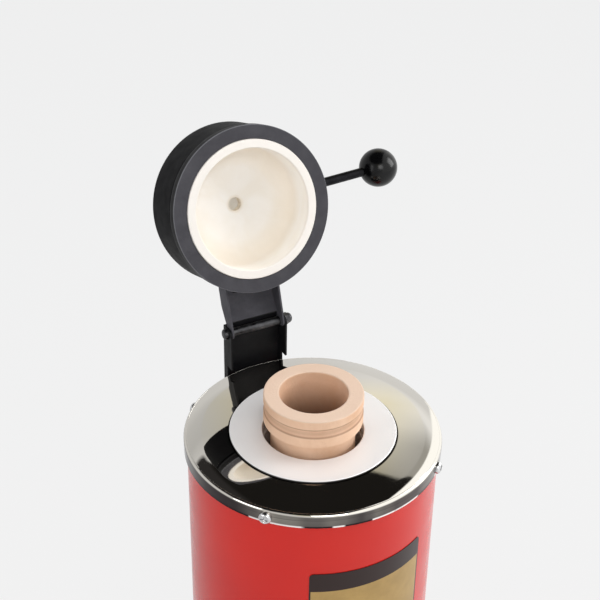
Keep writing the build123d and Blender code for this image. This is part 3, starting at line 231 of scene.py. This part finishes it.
class Shader(Nodes):
    """A Principled material; keywords name the shader's sockets, with _ for a blank."""

    def __init__(self, name, colour=(0.5, 0.5, 0.5), **sockets):
        self.material = bpy.data.materials.new(name)
        self.material.use_nodes = True
        super().__init__(self.material.node_tree, "Object")
        self.bsdf = self.tree.nodes["Principled BSDF"]
        self.put(self.bsdf, "Base Color", colour)
        for key, value in sockets.items():
            self.put(self.bsdf, key.replace("_", " "), value)

    def colour(self, socket):
        self.put(self.bsdf, "Base Color", socket)

    def rough(self, socket):
        self.put(self.bsdf, "Roughness", socket)

    def noise(self, scale, detail=3.0, rough=0.55, distortion=0.0, source=None):
        made = self.node("ShaderNodeTexNoise")
        settings = {"Scale": scale, "Detail": detail, "Roughness": rough, "Distortion": distortion}
        for key, value in settings.items():
            self.put(made, key, value)
        self.put(made, "Vector", source or self.coord)
        return made.outputs["Fac"]

    def bump(self, height, strength, distance):
        """A bump on top of those before it."""
        made = self.node("ShaderNodeBump")
        self.put(made, "Strength", strength)
        self.put(made, "Distance", distance)
        self.put(made, "Height", height)
        normal = self.bsdf.inputs["Normal"]
        if normal.is_linked:
            self.put(made, "Normal", normal.links[0].from_socket)
        self.put(self.bsdf, "Normal", made.outputs["Normal"])

    def places(self):
        """Distance from the furnace's axis and rise above the cover's top, as sockets."""
        x, y, z = self.split()
        return self.hypotenuse(x, y), self.math("SUBTRACT", z, COVER_TOP)

    def lid_places(self):
        """Distance from the lid's axis and depth behind its face, as sockets."""
        rel = self.vector("SUBTRACT", self.coord, tuple(FACE))
        depth = self.vector("DOT_PRODUCT", rel, tuple(LID_BACK))
        along = self.vector("DOT_PRODUCT", rel, tuple(LID_UP))
        return self.hypotenuse(along, self.split(rel)[0]), depth


def srgb(*values):
    """Colour as linear numbers from 0-255 display values."""
    out = []
    for value in values:
        share = value / 255
        out.append(share / 12.92 if share <= 0.04045 else ((share + 0.055) / 1.055) ** 2.4)
    return tuple(out)


# -------------------------------------------------- materials
def red_paint():
    """Glossy enamel with a faint orange peel."""
    mat = Shader("red_paint", Roughness=0.22, Coat_Weight=0.12, Coat_Roughness=0.08, Specular_IOR_Level=0.31)
    mat.colour(mat.mottled(mat.noise(9, 2), srgb(214, 28, 11), srgb(204, 22, 11)))
    mat.rough(mat.span(mat.noise(60, 4), 0.35, 0.65, 0.19, 0.27))
    mat.bump(mat.noise(650, 2, 0.4), 0.10, 0.0004)
    return mat.material


def skirt_painted_reflection(mat, rise):
    """Painted reflection round the cover's skirt: streaks and dents, darker towards both ends of the view,
    and a dark hem with bright painted glints.
    """
    x, y, z = mat.split()
    around = mat.combine(x, y, mat.times(z, 0.15))  # stretches the streaks upward
    broad = mat.noise(17, 3, 0.5, distortion=0.4, source=around)
    # painted reflection: dark and pale streaks in the skirt's colour
    tone = mat.ramp(broad, [
        (0.36, srgb(44, 38, 42)),
        (0.47, srgb(112, 108, 104)),
        (0.56, srgb(150, 146, 138)),
        (0.68, srgb(206, 194, 184)),
    ])
    up_skirt = mat.zone(rise, -SKIRT, -SKIRT_START)
    wavy = mat.combine(z=mat.math("ADD", up_skirt, mat.times(broad, 0.5)))
    lines = mat.noise(9, 3, 0.6, source=wavy)
    # painted dark streaks of reflection
    tone = mat.mix(mat.span(lines, 0.42, 0.62, 0.0, 0.6), tone, srgb(70, 66, 66))
    across = mat.math("DIVIDE", mat.vector("DOT_PRODUCT", mat.coord, TO_RIGHT), COVER_R)
    sideways = mat.math("ABSOLUTE", across)
    # painted darker reflection towards both ends of the view
    ends = mat.times(mat.span(sideways, 0.40, 0.62), mat.span(sideways, 0.90, 0.78, 0.25, 0.85))
    tone = mat.mix(ends, tone, srgb(46, 38, 42))
    # the skirt's lower edge: a dark hem with bright painted glints
    hem_glints = mat.span(mat.noise(34, 2, 0.5, source=around), 0.52, 0.54)
    hem_reflection = mat.mix(hem_glints, srgb(38, 32, 34), srgb(250, 246, 244))
    return mat.mix(mat.span(up_skirt, 0.17, 0.10), tone, hem_reflection)


def mirror_steel():
    """Polished sheet: a crowned top that rolls over at the rim, a skirt with painted streaked reflection, and
    a painted shadow line round the ring.
    """
    mat = Shader("mirror_steel", Metallic=1.0, Roughness=0.035)
    radius, rise = mat.places()
    on_top = mat.math("GREATER_THAN", rise, -0.05 * MM)
    outside = mat.math("MAXIMUM", mat.math("SUBTRACT", radius, ROLL_START), 0.0)
    crown = mat.times(mat.times(radius, radius), CROWN)
    roll = mat.times(mat.times(outside, outside), ROLL)
    fall = mat.math("ADD", crown, roll)
    mat.bump(mat.times(mat.times(fall, -1.0), on_top), 1.0, 1.0)
    mat.bump(mat.noise(420, 2, 0.5), 0.03, 0.0001)
    mat.rough(mat.span(mat.noise(26, 5, 0.6), 0.45, 0.75, 0.022, 0.075))
    above_skirt = mat.zone(rise, -SKIRT_START - 0.3, -SKIRT_START + 0.4)
    sheet = mat.mix(above_skirt, skirt_painted_reflection(mat, rise), srgb(226, 222, 214))
    # painted shadow: a dark line on the sheet round the mouth ring
    ring_shadow = mat.band(radius, RING_R - 0.2, RING_R, RING_R + 0.7, RING_R + 1.2)
    mat.colour(mat.mix(mat.times(ring_shadow, on_top), sheet, srgb(30, 28, 26)))
    return mat.material


def satin_ring():
    """Turned steel that looks nearly white, with a grey inner lip and painted shade along its outer edge."""
    mat = Shader("satin_ring", Metallic=0.35, Roughness=0.45, Anisotropic=0.5)
    tangent = mat.node("ShaderNodeTangent", direction_type="RADIAL", axis="Z")
    mat.put(mat.bsdf, "Tangent", tangent.outputs[0])
    radius, rise = mat.places()
    lines = mat.noise(5200, 2, 0.5, source=mat.combine(x=radius))
    face = mat.mottled(lines, srgb(240, 238, 237), srgb(250, 249, 248), 0.3, 0.7)
    by_mouth = mat.zone(radius, MOUTH_R + 1.5, MOUTH_R + 0.7)
    lip = mat.times(by_mouth, mat.zone(rise, RING_THICK, RING_THICK - 0.8))
    face = mat.mix(lip, face, srgb(208, 210, 214))
    # painted shade: a dark band at the ring's outer top edge
    by_edge = mat.zone(radius, RING_R - 0.5, RING_R - 0.2)
    edge_shade = mat.times(by_edge, mat.zone(rise, RING_THICK - 0.2, RING_THICK - 0.5))
    mat.colour(mat.mix(edge_shade, face, srgb(38, 34, 32)))
    mat.rough(mat.span(mat.noise(45, 4), 0.35, 0.7, 0.46, 0.56))
    mat.bump(lines, 0.10, 0.0001)
    return mat.material


def zinc(name, low, high, rough):
    """Plated or bare metal with faint blotches, between two tones."""
    mat = Shader(name, Metallic=1.0, Roughness=rough)
    mat.colour(mat.mottled(mat.noise(160, 4, 0.6), srgb(*low), srgb(*high)))
    mat.rough(mat.span(mat.noise(320, 3), 0.3, 0.7, rough * 0.75, rough * 1.3))
    mat.bump(mat.noise(900, 2), 0.12, 0.0001)
    return mat.material


def black_paint(name, dark, light, shine=0.12):
    """Black enamel; round the lid, painted shade darkens the side and the dark seam that parts the face
    ring's band from the shell, and painted highlight lines mark the band and the face's front edge.
    """
    mat = Shader(name, Roughness=0.5, Specular_IOR_Level=shine)
    radius, depth = mat.lid_places()
    paint = mat.mottled(mat.noise(70, 5, 0.65), srgb(*dark), srgb(*light), 0.4, 0.7)
    round_lid = mat.band(radius, LID_R - 1.0, LID_R - 0.5, LID_R + 1.5, LID_R + 2.5)
    # painted shade: the lid's side darker than its face
    side = mat.times(round_lid, mat.zone(depth, 0.5, 0.9))
    paint = mat.mix(side, paint, srgb(14, 14, 16))
    # painted highlight: a pale line along the face ring's band
    band_highlight = mat.near(depth, RIDGE_DEPTH, 0.4, 0.8)
    paint = mat.mix(mat.times(band_highlight, side), paint, srgb(38, 38, 41))
    # painted highlight along the face's front edge
    front_edge_highlight = mat.times(mat.zone(radius, LID_R + 0.2, LID_R + 0.5), mat.band(depth, -0.1, 0.2, 0.6, 1.0))
    paint = mat.mix(front_edge_highlight, paint, srgb(112, 112, 116))
    # painted shade in the seam between the face ring's band and the shell
    seam = mat.times(mat.near(depth, SEAM_DEPTH, 0.9, 1.5), side)
    mat.colour(mat.mix(seam, paint, srgb(4, 4, 5)))
    mat.rough(mat.math("ADD", mat.span(mat.noise(130, 4), 0.3, 0.7, 0.44, 0.56), mat.times(seam, 0.4)))
    mat.bump(mat.math("SUBTRACT", 1.0, seam), 1.0, 0.0022)
    mat.bump(mat.noise(1500, 2, 0.5), 0.20, 0.00012)
    return mat.material


def bowl_ceramic():
    """Cream fired fibre: duller at its rim, with painted shade in tan towards the inner wall, and browner in
    the vent hole.
    """
    mat = Shader("bowl_ceramic", Roughness=0.82)
    radius, depth = mat.lid_places()
    stain = mat.noise(38, 5, 0.6, distortion=0.6)
    cream = mat.mottled(stain, srgb(250, 246, 240), srgb(245, 239, 229), 0.38, 0.68)
    cream = mat.mix(mat.zone(depth, 2.5, 1.0), cream, srgb(241, 235, 227))
    # painted shade: tan towards the inner wall, where the bowl's corner lies in shade
    corner_shade = mat.times(mat.zone(depth, 12, 30), mat.zone(radius, 24, 38))
    cream = mat.mix(mat.times(corner_shade, 0.7), cream, srgb(234, 219, 197))
    hole = mat.times(mat.zone(radius, VENT_R + 2.0, VENT_R), mat.zone(depth, 20, 26))
    mat.colour(mat.mix(mat.times(hole, 0.3), cream, srgb(206, 180, 132)))
    mat.bump(mat.noise(60, 4, 0.55), 0.25, 0.0011)
    mat.bump(mat.noise(1100, 3, 0.6), 0.35, 0.0002)
    return mat.material


# painted shade in the groove round the crucible's flange, at its two edges and its floor:
# rise above the cover and half width in millimetres, and share of the painted darker tone
CLAY_GROOVE_SHADE = ((22.4, 0.8, 0.6), (16.8, 0.8, 0.6), (19.0, 3.4, 0.35))


def clay():
    """Fired clay: dark grains, a pale rim, painted shade that browns the bore towards its depth and darkens
    the groove round the flange.
    """
    mat = Shader("clay", Roughness=0.86)
    radius, rise = mat.places()
    height = mat.split()[2]
    broad = mat.noise(34, 4, 0.6, distortion=0.4)
    base = mat.mottled(broad, srgb(240, 202, 172), srgb(227, 184, 150), 0.35, 0.68)
    grains = mat.node("ShaderNodeTexVoronoi", feature="F1")
    mat.put(grains, "Vector", mat.coord)
    mat.put(grains, "Scale", 620)
    specks = mat.ramp(grains.outputs["Distance"], [(0.05, 1.0), (0.22, 0.0)])
    strewn = mat.times(mat.split(specks)[0], mat.span(mat.noise(230, 2), 0.5, 0.62))
    base = mat.mix(mat.times(strewn, 0.4), base, srgb(186, 138, 106))
    rim = mat.span(height, CRUCIBLE_TOP - 0.8 * MM, CRUCIBLE_TOP - 0.3 * MM)
    base = mat.mix(mat.times(rim, 0.8), base, srgb(220, 195, 175))
    # painted shade: the bore darker and browner towards its depth
    in_bore = mat.zone(radius, CRUCIBLE_BORE_R + 1.2, CRUCIBLE_BORE_R + 0.7)
    bore_shade = mat.times(in_bore, mat.zone(rise, 22, -8))
    base = mat.mix(mat.times(bore_shade, 0.9), base, srgb(116, 76, 50))
    # painted shade in the groove round the flange, at its edges and floor
    outside = mat.zone(radius, CRUCIBLE_OUTSIDE_R, CRUCIBLE_OUTSIDE_R + 1.5)
    for middle, half_width, share in CLAY_GROOVE_SHADE:
        groove = mat.times(mat.near(rise, middle, 0.2, half_width), outside)
        base = mat.mix(mat.times(groove, share), base, srgb(150, 108, 82))
    mat.colour(base)
    mat.bump(mat.noise(75, 4, 0.6), 0.30, 0.0012)
    mat.bump(mat.noise(700, 4, 0.65), 0.45, 0.0004)
    mat.bump(mat.noise(900, 2, 0.5, source=mat.combine(z=height)), 0.12, 0.0003)
    return mat.material


def fired(name, light, dark, grain=900):
    """Rough refractory, between two tones."""
    mat = Shader(name, Roughness=0.9)
    mat.colour(mat.mottled(mat.noise(40, 5), srgb(*light), srgb(*dark)))
    mat.bump(mat.noise(grain, 4, 0.65), 0.5, 0.0005)
    return mat.material


def foil():
    """Gold field with a dark upper band and a thin dark border at the sides and below."""
    mat = Shader("foil_plate", Metallic=0.55, Roughness=0.36, Coat_Weight=0.15, Coat_Roughness=0.12)
    x, y, z = mat.split()
    from_front = mat.math("ABSOLUTE", mat.math("ARCTAN2", x, mat.times(y, -1.0)))
    arc = mat.times(from_front, BODY_R)
    header = mat.math("GREATER_THAN", z, PLATE_TOP - PLATE_HEADER * MM)
    side_border = mat.math("GREATER_THAN", arc, PLATE_HALF_ARC - PLATE_BORDER * MM)
    low_border = mat.math("LESS_THAN", z, PLATE_LOW + PLATE_BORDER * MM)
    dark = mat.math("MAXIMUM", header, mat.math("MAXIMUM", side_border, low_border))
    gold = mat.mottled(mat.noise(55, 4), srgb(184, 152, 92), srgb(168, 138, 82))
    mat.colour(mat.mix(dark, gold, srgb(42, 25, 22)))
    mat.bump(mat.noise(500, 2), 0.06, 0.0002)
    return mat.material


def plastic(name, colour, rough=0.42, grain=1600, depth=0.00012, coat=0.0, spread=0.12, shine=0.5):
    """Moulded plastic or rubber; spread is how much darker its worn places are."""
    mat = Shader(name, Roughness=rough, Coat_Weight=coat, Coat_Roughness=0.05, Specular_IOR_Level=shine)
    base = srgb(*colour)
    worn = tuple(value * (1 - spread) for value in base)
    mat.colour(mat.mottled(mat.noise(90, 4), base, worn))
    mat.rough(mat.span(mat.noise(210, 3), 0.3, 0.7, rough * 0.85, rough * 1.15))
    mat.bump(mat.noise(grain, 2, 0.5), 0.2, depth)
    return mat.material


def lit(name, colour, strength):
    """A glowing segment of the display."""
    base = srgb(*colour)
    mat = Shader(name, base, Roughness=0.4, Emission_Color=base, Emission_Strength=strength)
    dim = tuple(value * 0.8 for value in base)
    mat.colour(mat.mottled(mat.noise(800, 2), base, dim, 0.3, 0.7))
    return mat.material


MATERIALS = {
    "red": red_paint(),
    "mirror": mirror_steel(),
    "ring": satin_ring(),
    # one black enamel in four tones: lighter on the arm and the face ring as painted light, darker on the
    # bracket and the shell as painted shade
    "black": black_paint("black_paint", (17, 17, 19), (25, 25, 27)),
    "shell": black_paint("black_shell_painted_shade", (13, 13, 15), (20, 20, 22), shine=0.05),
    "arm": black_paint("black_arm_painted_light", (70, 69, 74), (84, 83, 88)),
    "pin": zinc("black_pin", (58, 58, 60), (88, 88, 90), 0.36),
    "face": black_paint("black_face_painted_light", (66, 65, 69), (76, 75, 79)),
    "bowl": bowl_ceramic(),
    "clay": clay(),
    "muffle": fired("refractory_tube", (214, 212, 210), (196, 194, 192)),
    "fibre": fired("fibre_board", (238, 234, 226), (224, 218, 206), 1400),
    "screw": zinc("zinc_screw", (196, 196, 198), (224, 224, 224), 0.18),
    "sheet": zinc("zinc_sheet", (150, 152, 156), (178, 180, 184), 0.42),
    "rod": zinc("black_rod", (26, 26, 28), (38, 38, 40), 0.4),
    "alloy": zinc("heater_alloy", (86, 80, 76), (110, 102, 96), 0.5),
    "brass": zinc("blade_brass", (196, 160, 84), (214, 180, 104), 0.28),
    "foil": foil(),
    "knob": plastic("knob_phenolic", (7, 7, 8), 0.2, 300, 0.00006, spread=0.05, shine=0.26),
    "rubber": plastic("foot_rubber", (34, 34, 35), 0.72, 900, 0.0003),
    "plastic": plastic("moulded_black", (30, 30, 32), 0.42),
    "grey": plastic("key_grey", (92, 94, 98), 0.5),
    "rocker": plastic("rocker_red", (168, 22, 20), 0.2, 400, 0.00005, coat=0.4),
    "window": plastic("display_window", (22, 12, 12), 0.08, 300, 0.00003, coat=0.5, spread=0.05),
    "cream": plastic("terminal_cream", (224, 218, 202), 0.5),
    "jacket": plastic("wire_jacket", (206, 196, 176), 0.75, 2400, 0.0003),
    "mark": plastic("printed_mark", (232, 232, 230), 0.5),
    "red_lit": lit("digits_red", (255, 60, 36), 1.6),
    "green_lit": lit("digits_green", (90, 240, 110), 1.3),
}

WEAR = {
    "red": ["base_housing", "body_shell"],
    "mirror": ["top_cover"],
    "ring": ["mouth_ring"],
    "black": ["hinge_bracket"],
    "shell": ["lid_shell"],
    "arm": ["hinge_arm"],
    "pin": ["hinge_pin", "hinge_nut", "hinge_sleeve"],
    "face": ["lid_face_ring"],
    "bowl": ["lid_bowl"],
    "clay": ["crucible"],
    "muffle": ["muffle_tube", "hearth_floor"],
    "fibre": ["top_board", "side_insulation", "bottom_insulation", "lid_insulation"],
    "screw": ["cover_screws", "housing_screws", "foot_screws", "floor_screws", "shell_screws",
              "inlet_screws"],
    "sheet": ["base_tray", "body_floor", "bracket_spacers", "handle_nut"],
    "rod": ["handle_rod", "arm_screws", "bracket_screws"],
    "alloy": ["heating_coil", "element_posts", "thermocouple"],
    "brass": ["inlet_blades"],
    "foil": ["foil_plate"],
    "knob": ["ball_knob"],
    "rubber": ["rubber_feet"],
    "plastic": ["controller_bezel", "controller_body", "controller_clamp", "switch_body", "inlet_socket",
                "solid_state_relay"],
    "grey": [f"controller_button_{number}" for number in range(1, 5)],
    "rocker": ["power_rocker"],
    "window": ["controller_window"],
    "cream": ["terminal_block"],
    "jacket": ["heater_wires", "mains_wires", "signal_wires"],
}
for key, names in WEAR.items():
    for name in names:
        NODES[name].data.materials.clear()
        NODES[name].data.materials.append(MATERIALS[key])


# -------------------------------------------------- small marks on the controls
def flat_piece(name, outlines, origin, up, height, material, body):
    """Thin raised shapes on the plane of RIGHT and up; an outline lists (x, y) in mm about origin."""
    out = RIGHT.cross(up).normalized()
    mesh = bpy.data.meshes.new(name)
    made = bmesh.new()
    for outline in outlines:
        low = [made.verts.new(origin + (RIGHT * x + up * y) * MM) for x, y in outline]
        top = [made.verts.new(corner.co + out * height) for corner in low]
        made.faces.new(top)
        made.faces.new(list(reversed(low)))
        for index in range(len(low)):
            following = (index + 1) % len(low)
            made.faces.new((low[index], low[following], top[following], top[index]))
    bmesh.ops.recalc_face_normals(made, faces=made.faces)
    made.to_mesh(mesh)
    made.free()
    piece = bpy.data.objects.new(name, mesh)
    bpy.context.scene.collection.objects.link(piece)
    mesh.materials.append(material)
    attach(piece, body)


# ends of a digit's seven bars: x from 0 to 1 across it, y from -1 to 1 up it
SEGMENTS = {
    "a": ((0, 1), (1, 1)),
    "b": ((1, 1), (1, 0)),
    "c": ((1, 0), (1, -1)),
    "d": ((0, -1), (1, -1)),
    "e": ((0, 0), (0, -1)),
    "f": ((0, 1), (0, 0)),
    "g": ((0, 0), (1, 0)),
}
DIGITS = {"0": "abcdef", "1": "bc", "4": "fgbc", "6": "afgedc"}
SLANT = 0.04  # sideways lean of a digit's top, per height
BAR_GAP = 0.12  # free end of a bar, per bar width


def digit_outlines(text, left, middle, width, height, pitch, bar):
    """Seven-segment digits as pointed bars."""
    outlines = []
    for place, digit in enumerate(text):
        for name in DIGITS[digit]:
            start, end = (
                Vector((left + place * pitch + x * width + SLANT * height * y, middle + y * height / 2))
                for x, y in SEGMENTS[name]
            )
            way = (end - start).normalized()
            side = Vector((-way.y, way.x)) * bar / 2
            start, end = start + way * bar * BAR_GAP, end - way * bar * BAR_GAP
            tip = way * bar / 2
            upper = (start + tip + side, end - tip + side)
            lower = (end - tip - side, start + tip - side)
            outlines.append([tuple(corner) for corner in (start, *upper, end, *lower)])
    return outlines


BEZEL_HEIGHT = 5.0 * MM
WINDOW_SINK = 0.1 * MM  # how far the window lies behind the frame's face
WINDOW_RISE = 8 * MM
DIGIT_HEIGHT = 0.06 * MM
window_face = CONTROLLER + PANEL_OUT * (BEZEL_HEIGHT - WINDOW_SINK) + PANEL_UP * WINDOW_RISE
upper_digits = digit_outlines("1064", left=-15, middle=4.6, width=4.6, height=9.0, pitch=8.0, bar=1.0)
lower_digits = digit_outlines("1100", left=-8.5, middle=-6.0, width=2.9, height=5.6, pitch=5.4, bar=0.7)
flat_piece("display_upper_digits", upper_digits, window_face, PANEL_UP, DIGIT_HEIGHT, MATERIALS["red_lit"],
           "furnace")
flat_piece("display_lower_digits", lower_digits, window_face, PANEL_UP, DIGIT_HEIGHT, MATERIALS["green_lit"],
           "furnace")

# a square, and arrows to the left, down and up, in millimetres about the key's middle
KEY_MARKS = [
    [[(-1.4, -1.4), (1.4, -1.4), (1.4, 1.4), (-1.4, 1.4)]],
    [[(-1.6, 0), (1.2, -1.5), (1.2, 1.5)]],
    [[(-1.6, 1.0), (0, -1.5), (1.6, 1.0)]],
    [[(-1.6, -1.0), (1.6, -1.0), (0, 1.5)]],
]
KEY_PROUD = 1.0 * MM
KEY_DROP = 14.5 * MM
KEY_PITCH = 10.2 * MM
KEY_MARK_HEIGHT = 0.04 * MM
MIDDLE_KEY = 2.5  # the row's middle lies between the second key and the third
keys_middle = CONTROLLER + PANEL_OUT * (BEZEL_HEIGHT + KEY_PROUD) - PANEL_UP * KEY_DROP
for number, marks in enumerate(KEY_MARKS, start=1):
    key_face = keys_middle + RIGHT * KEY_PITCH * (number - MIDDLE_KEY)
    flat_piece(f"key_mark_{number}", marks, key_face, PANEL_UP, KEY_MARK_HEIGHT, MATERIALS["mark"],
               f"button_{number}")

TILT = radians(9)  # of the rocker at rest
ROCKER_PIVOT = SWITCH - PANEL_OUT * 2 * MM
ROCKER_UP = PANEL_UP * cos(TILT) + PANEL_OUT * sin(TILT)
ROCKER_OUT = PANEL_OUT * cos(TILT) - PANEL_UP * sin(TILT)
ROCKER_MIDDLE = 4.4 * MM  # from the pivot to the face's middle, its lowest line
ROCKER_SLOPE = atan2(3.0, 22.0)  # the face's own, from its middle line to its ends
ROCKER_MARK_HEIGHT = 0.05 * MM
ROCKER_MARK_REACH = 6.0 * MM
ROCKER_MARK_LIFT = 0.005 * MM  # keeps the mark's underside off the face


def rocker_mark(name, outlines, end):
    """A mark on one half of the rocker, whose face slopes up towards its two ends, +1 and -1."""
    up = ROCKER_UP * cos(ROCKER_SLOPE) + ROCKER_OUT * sin(ROCKER_SLOPE) * end
    out = ROCKER_OUT * cos(ROCKER_SLOPE) - ROCKER_UP * sin(ROCKER_SLOPE) * end
    middle = ROCKER_PIVOT + ROCKER_OUT * ROCKER_MIDDLE
    origin = middle + up * end * ROCKER_MARK_REACH / cos(ROCKER_SLOPE) + out * ROCKER_MARK_LIFT
    flat_piece(name, outlines, origin, up, ROCKER_MARK_HEIGHT, MATERIALS["mark"], "rocker")


def ring_outlines(outer, inner, count=24):
    """A flat ring as a closed chain of four-sided pieces."""
    turns = [(cos(tau * step / count), sin(tau * step / count)) for step in range(count + 1)]
    return [
        [(outer * x0, outer * y0), (outer * x1, outer * y1),
         (inner * x1, inner * y1), (inner * x0, inner * y0)]
        for (x0, y0), (x1, y1) in zip(turns, turns[1:])
    ]


rocker_mark("mark_on", [[(-0.35, -1.8), (0.35, -1.8), (0.35, 1.8), (-0.35, 1.8)]], 1)
rocker_mark("mark_off", ring_outlines(1.9, 1.25), -1)


# -------------------------------------------------- stage, world and lamps
WHITE = srgb(243, 243, 243)


def stage_floor(side, material):
    """A wide square floor on which the furnace stands."""
    half = side / 2
    mesh = bpy.data.meshes.new("floor")
    corners = [(-half, -half, 0), (half, -half, 0), (half, half, 0), (-half, half, 0)]
    mesh.from_pydata(corners, [], [(0, 1, 2, 3)])
    mesh.materials.append(material)
    sheet = bpy.data.objects.new("floor", mesh)
    bpy.context.scene.collection.objects.link(sheet)


def pale_floor():
    """Plain for light and shadow, and near white to the camera and in reflections."""
    mat = bpy.data.materials.new("pale_floor")
    mat.use_nodes = True
    mat.node_tree.nodes.clear()
    tree = Nodes(mat.node_tree, "Object")
    path = tree.node("ShaderNodeLightPath").outputs
    falloff = tree.span(tree.vector("DOT_PRODUCT", tree.coord, TO_RIGHT), -0.5, 0.5, 0.7, 1.25)
    strength = tree.mix_numbers(path["Is Glossy Ray"], 1.0, falloff)
    diffuse = tree.filled(tree.node("ShaderNodeBsdfDiffuse"), srgb(225, 225, 225))
    glow = tree.filled(tree.node("ShaderNodeEmission"), WHITE, strength)
    direct = tree.math("MAXIMUM", path["Is Camera Ray"], path["Is Glossy Ray"])
    seen = tree.math("MAXIMUM", direct, path["Is Transmission Ray"])
    surface = tree.choose(tree.times(seen, 0.92), diffuse, glow)
    tree.put(tree.node("ShaderNodeOutputMaterial"), "Surface", surface)
    return mat


def make_world():
    """Pale all round and dark overhead, as in a small studio tent that is open at the top."""
    world = bpy.data.worlds.new("studio")
    bpy.context.scene.world = world
    world.use_nodes = True
    world.node_tree.nodes.clear()
    tree = Nodes(world.node_tree, "Generated")
    side = tree.vector("DOT_PRODUCT", tree.coord, TO_RIGHT)
    rise = tree.split()[2]

    # the tent's walls, which differ to the left and the right, warmer straight ahead
    right = tree.ramp(rise, [(0.0, 0.8), (0.33, 0.80), (0.45, 1.0), (0.56, 0.95), (0.64, 0.68), (0.72, 0.47)])
    left = tree.ramp(rise, [(0.0, 0.7), (0.33, 0.72), (0.48, 0.60), (0.60, 0.56), (0.67, 0.68)])
    walls = tree.mix(tree.span(side, -0.12, 0.12), left, right)
    warm = tree.times(tree.span(tree.math("ABSOLUTE", side), 0.25, 0.15), tree.span(rise, 0.38, 0.48))
    walls = tree.mix(warm, walls, (1.0, 0.94, 0.74), "MULTIPLY")
    fade = tree.times(tree.span(side, 0.16, 0.27), tree.span(rise, 0.50, 0.62))
    walls = tree.mix(fade, walls, (0.40, 0.39, 0.36))

    # the dark opening, a dark corner on the left and a bright wall far on the right
    upward = tree.vector("DOT_PRODUCT", tree.coord, Vector((0, 0, 1)) - Vector(TO_RIGHT) * 0.08)
    tent = tree.mix(tree.span(upward, 0.712, 0.722), walls, (0.012, 0.011, 0.010))
    corner = tree.times(tree.span(side, -0.26, -0.32), tree.span(rise, 0.66, 0.68))
    tent = tree.mix(corner, tent, (0.03, 0.028, 0.028))
    tent = tree.mix(tree.span(side, 0.355, 0.375), tent, (1.3, 1.3, 1.28))

    # the tent shows in reflections, plain white behind the furnace, and an even cool light does the rest
    path = tree.node("ShaderNodeLightPath").outputs
    reflected = tree.filled(tree.node("ShaderNodeBackground"), tent, 1.0)
    behind = tree.filled(tree.node("ShaderNodeBackground"), WHITE, 1.0)
    soft = tree.filled(tree.node("ShaderNodeBackground"), (0.95, 0.97, 1.0), 0.50)
    unseen = tree.choose(path["Is Glossy Ray"], soft, reflected)
    surface = tree.choose(path["Is Camera Ray"], unseen, behind)
    tree.put(tree.node("ShaderNodeOutputWorld"), "Surface", surface)


def softbox(name, place, target, width, height, watts, in_reflections=True):
    """A rectangular lamp that faces the target."""
    data = bpy.data.lights.new(name, "AREA")
    data.shape = "RECTANGLE"
    data.size = width
    data.size_y = height
    data.energy = watts
    lamp = bpy.data.objects.new(name, data)
    bpy.context.scene.collection.objects.link(lamp)
    lamp.location = place
    aim = Vector(target) - Vector(place)
    lamp.rotation_euler = aim.to_track_quat("-Z", "Y").to_euler()
    lamp.visible_glossy = in_reflections


stage_floor(8, pale_floor())
make_world()
softbox("key_right", (1.25, -0.35, 0.95), (0, 0, 0.3), 0.7, 0.9, 11)
softbox("fill_left", (-1.35, -0.25, 0.8), (0, 0, 0.3), 0.6, 0.9, 3.2)
softbox("front", (-0.35, -1.5, 1.35), (0, 0, 0.28), 0.8, 0.8, 9)
softbox("overhead", (0.25, 0.1, 1.6), (0, 0, 0.3), 0.9, 0.9, 5, in_reflections=False)
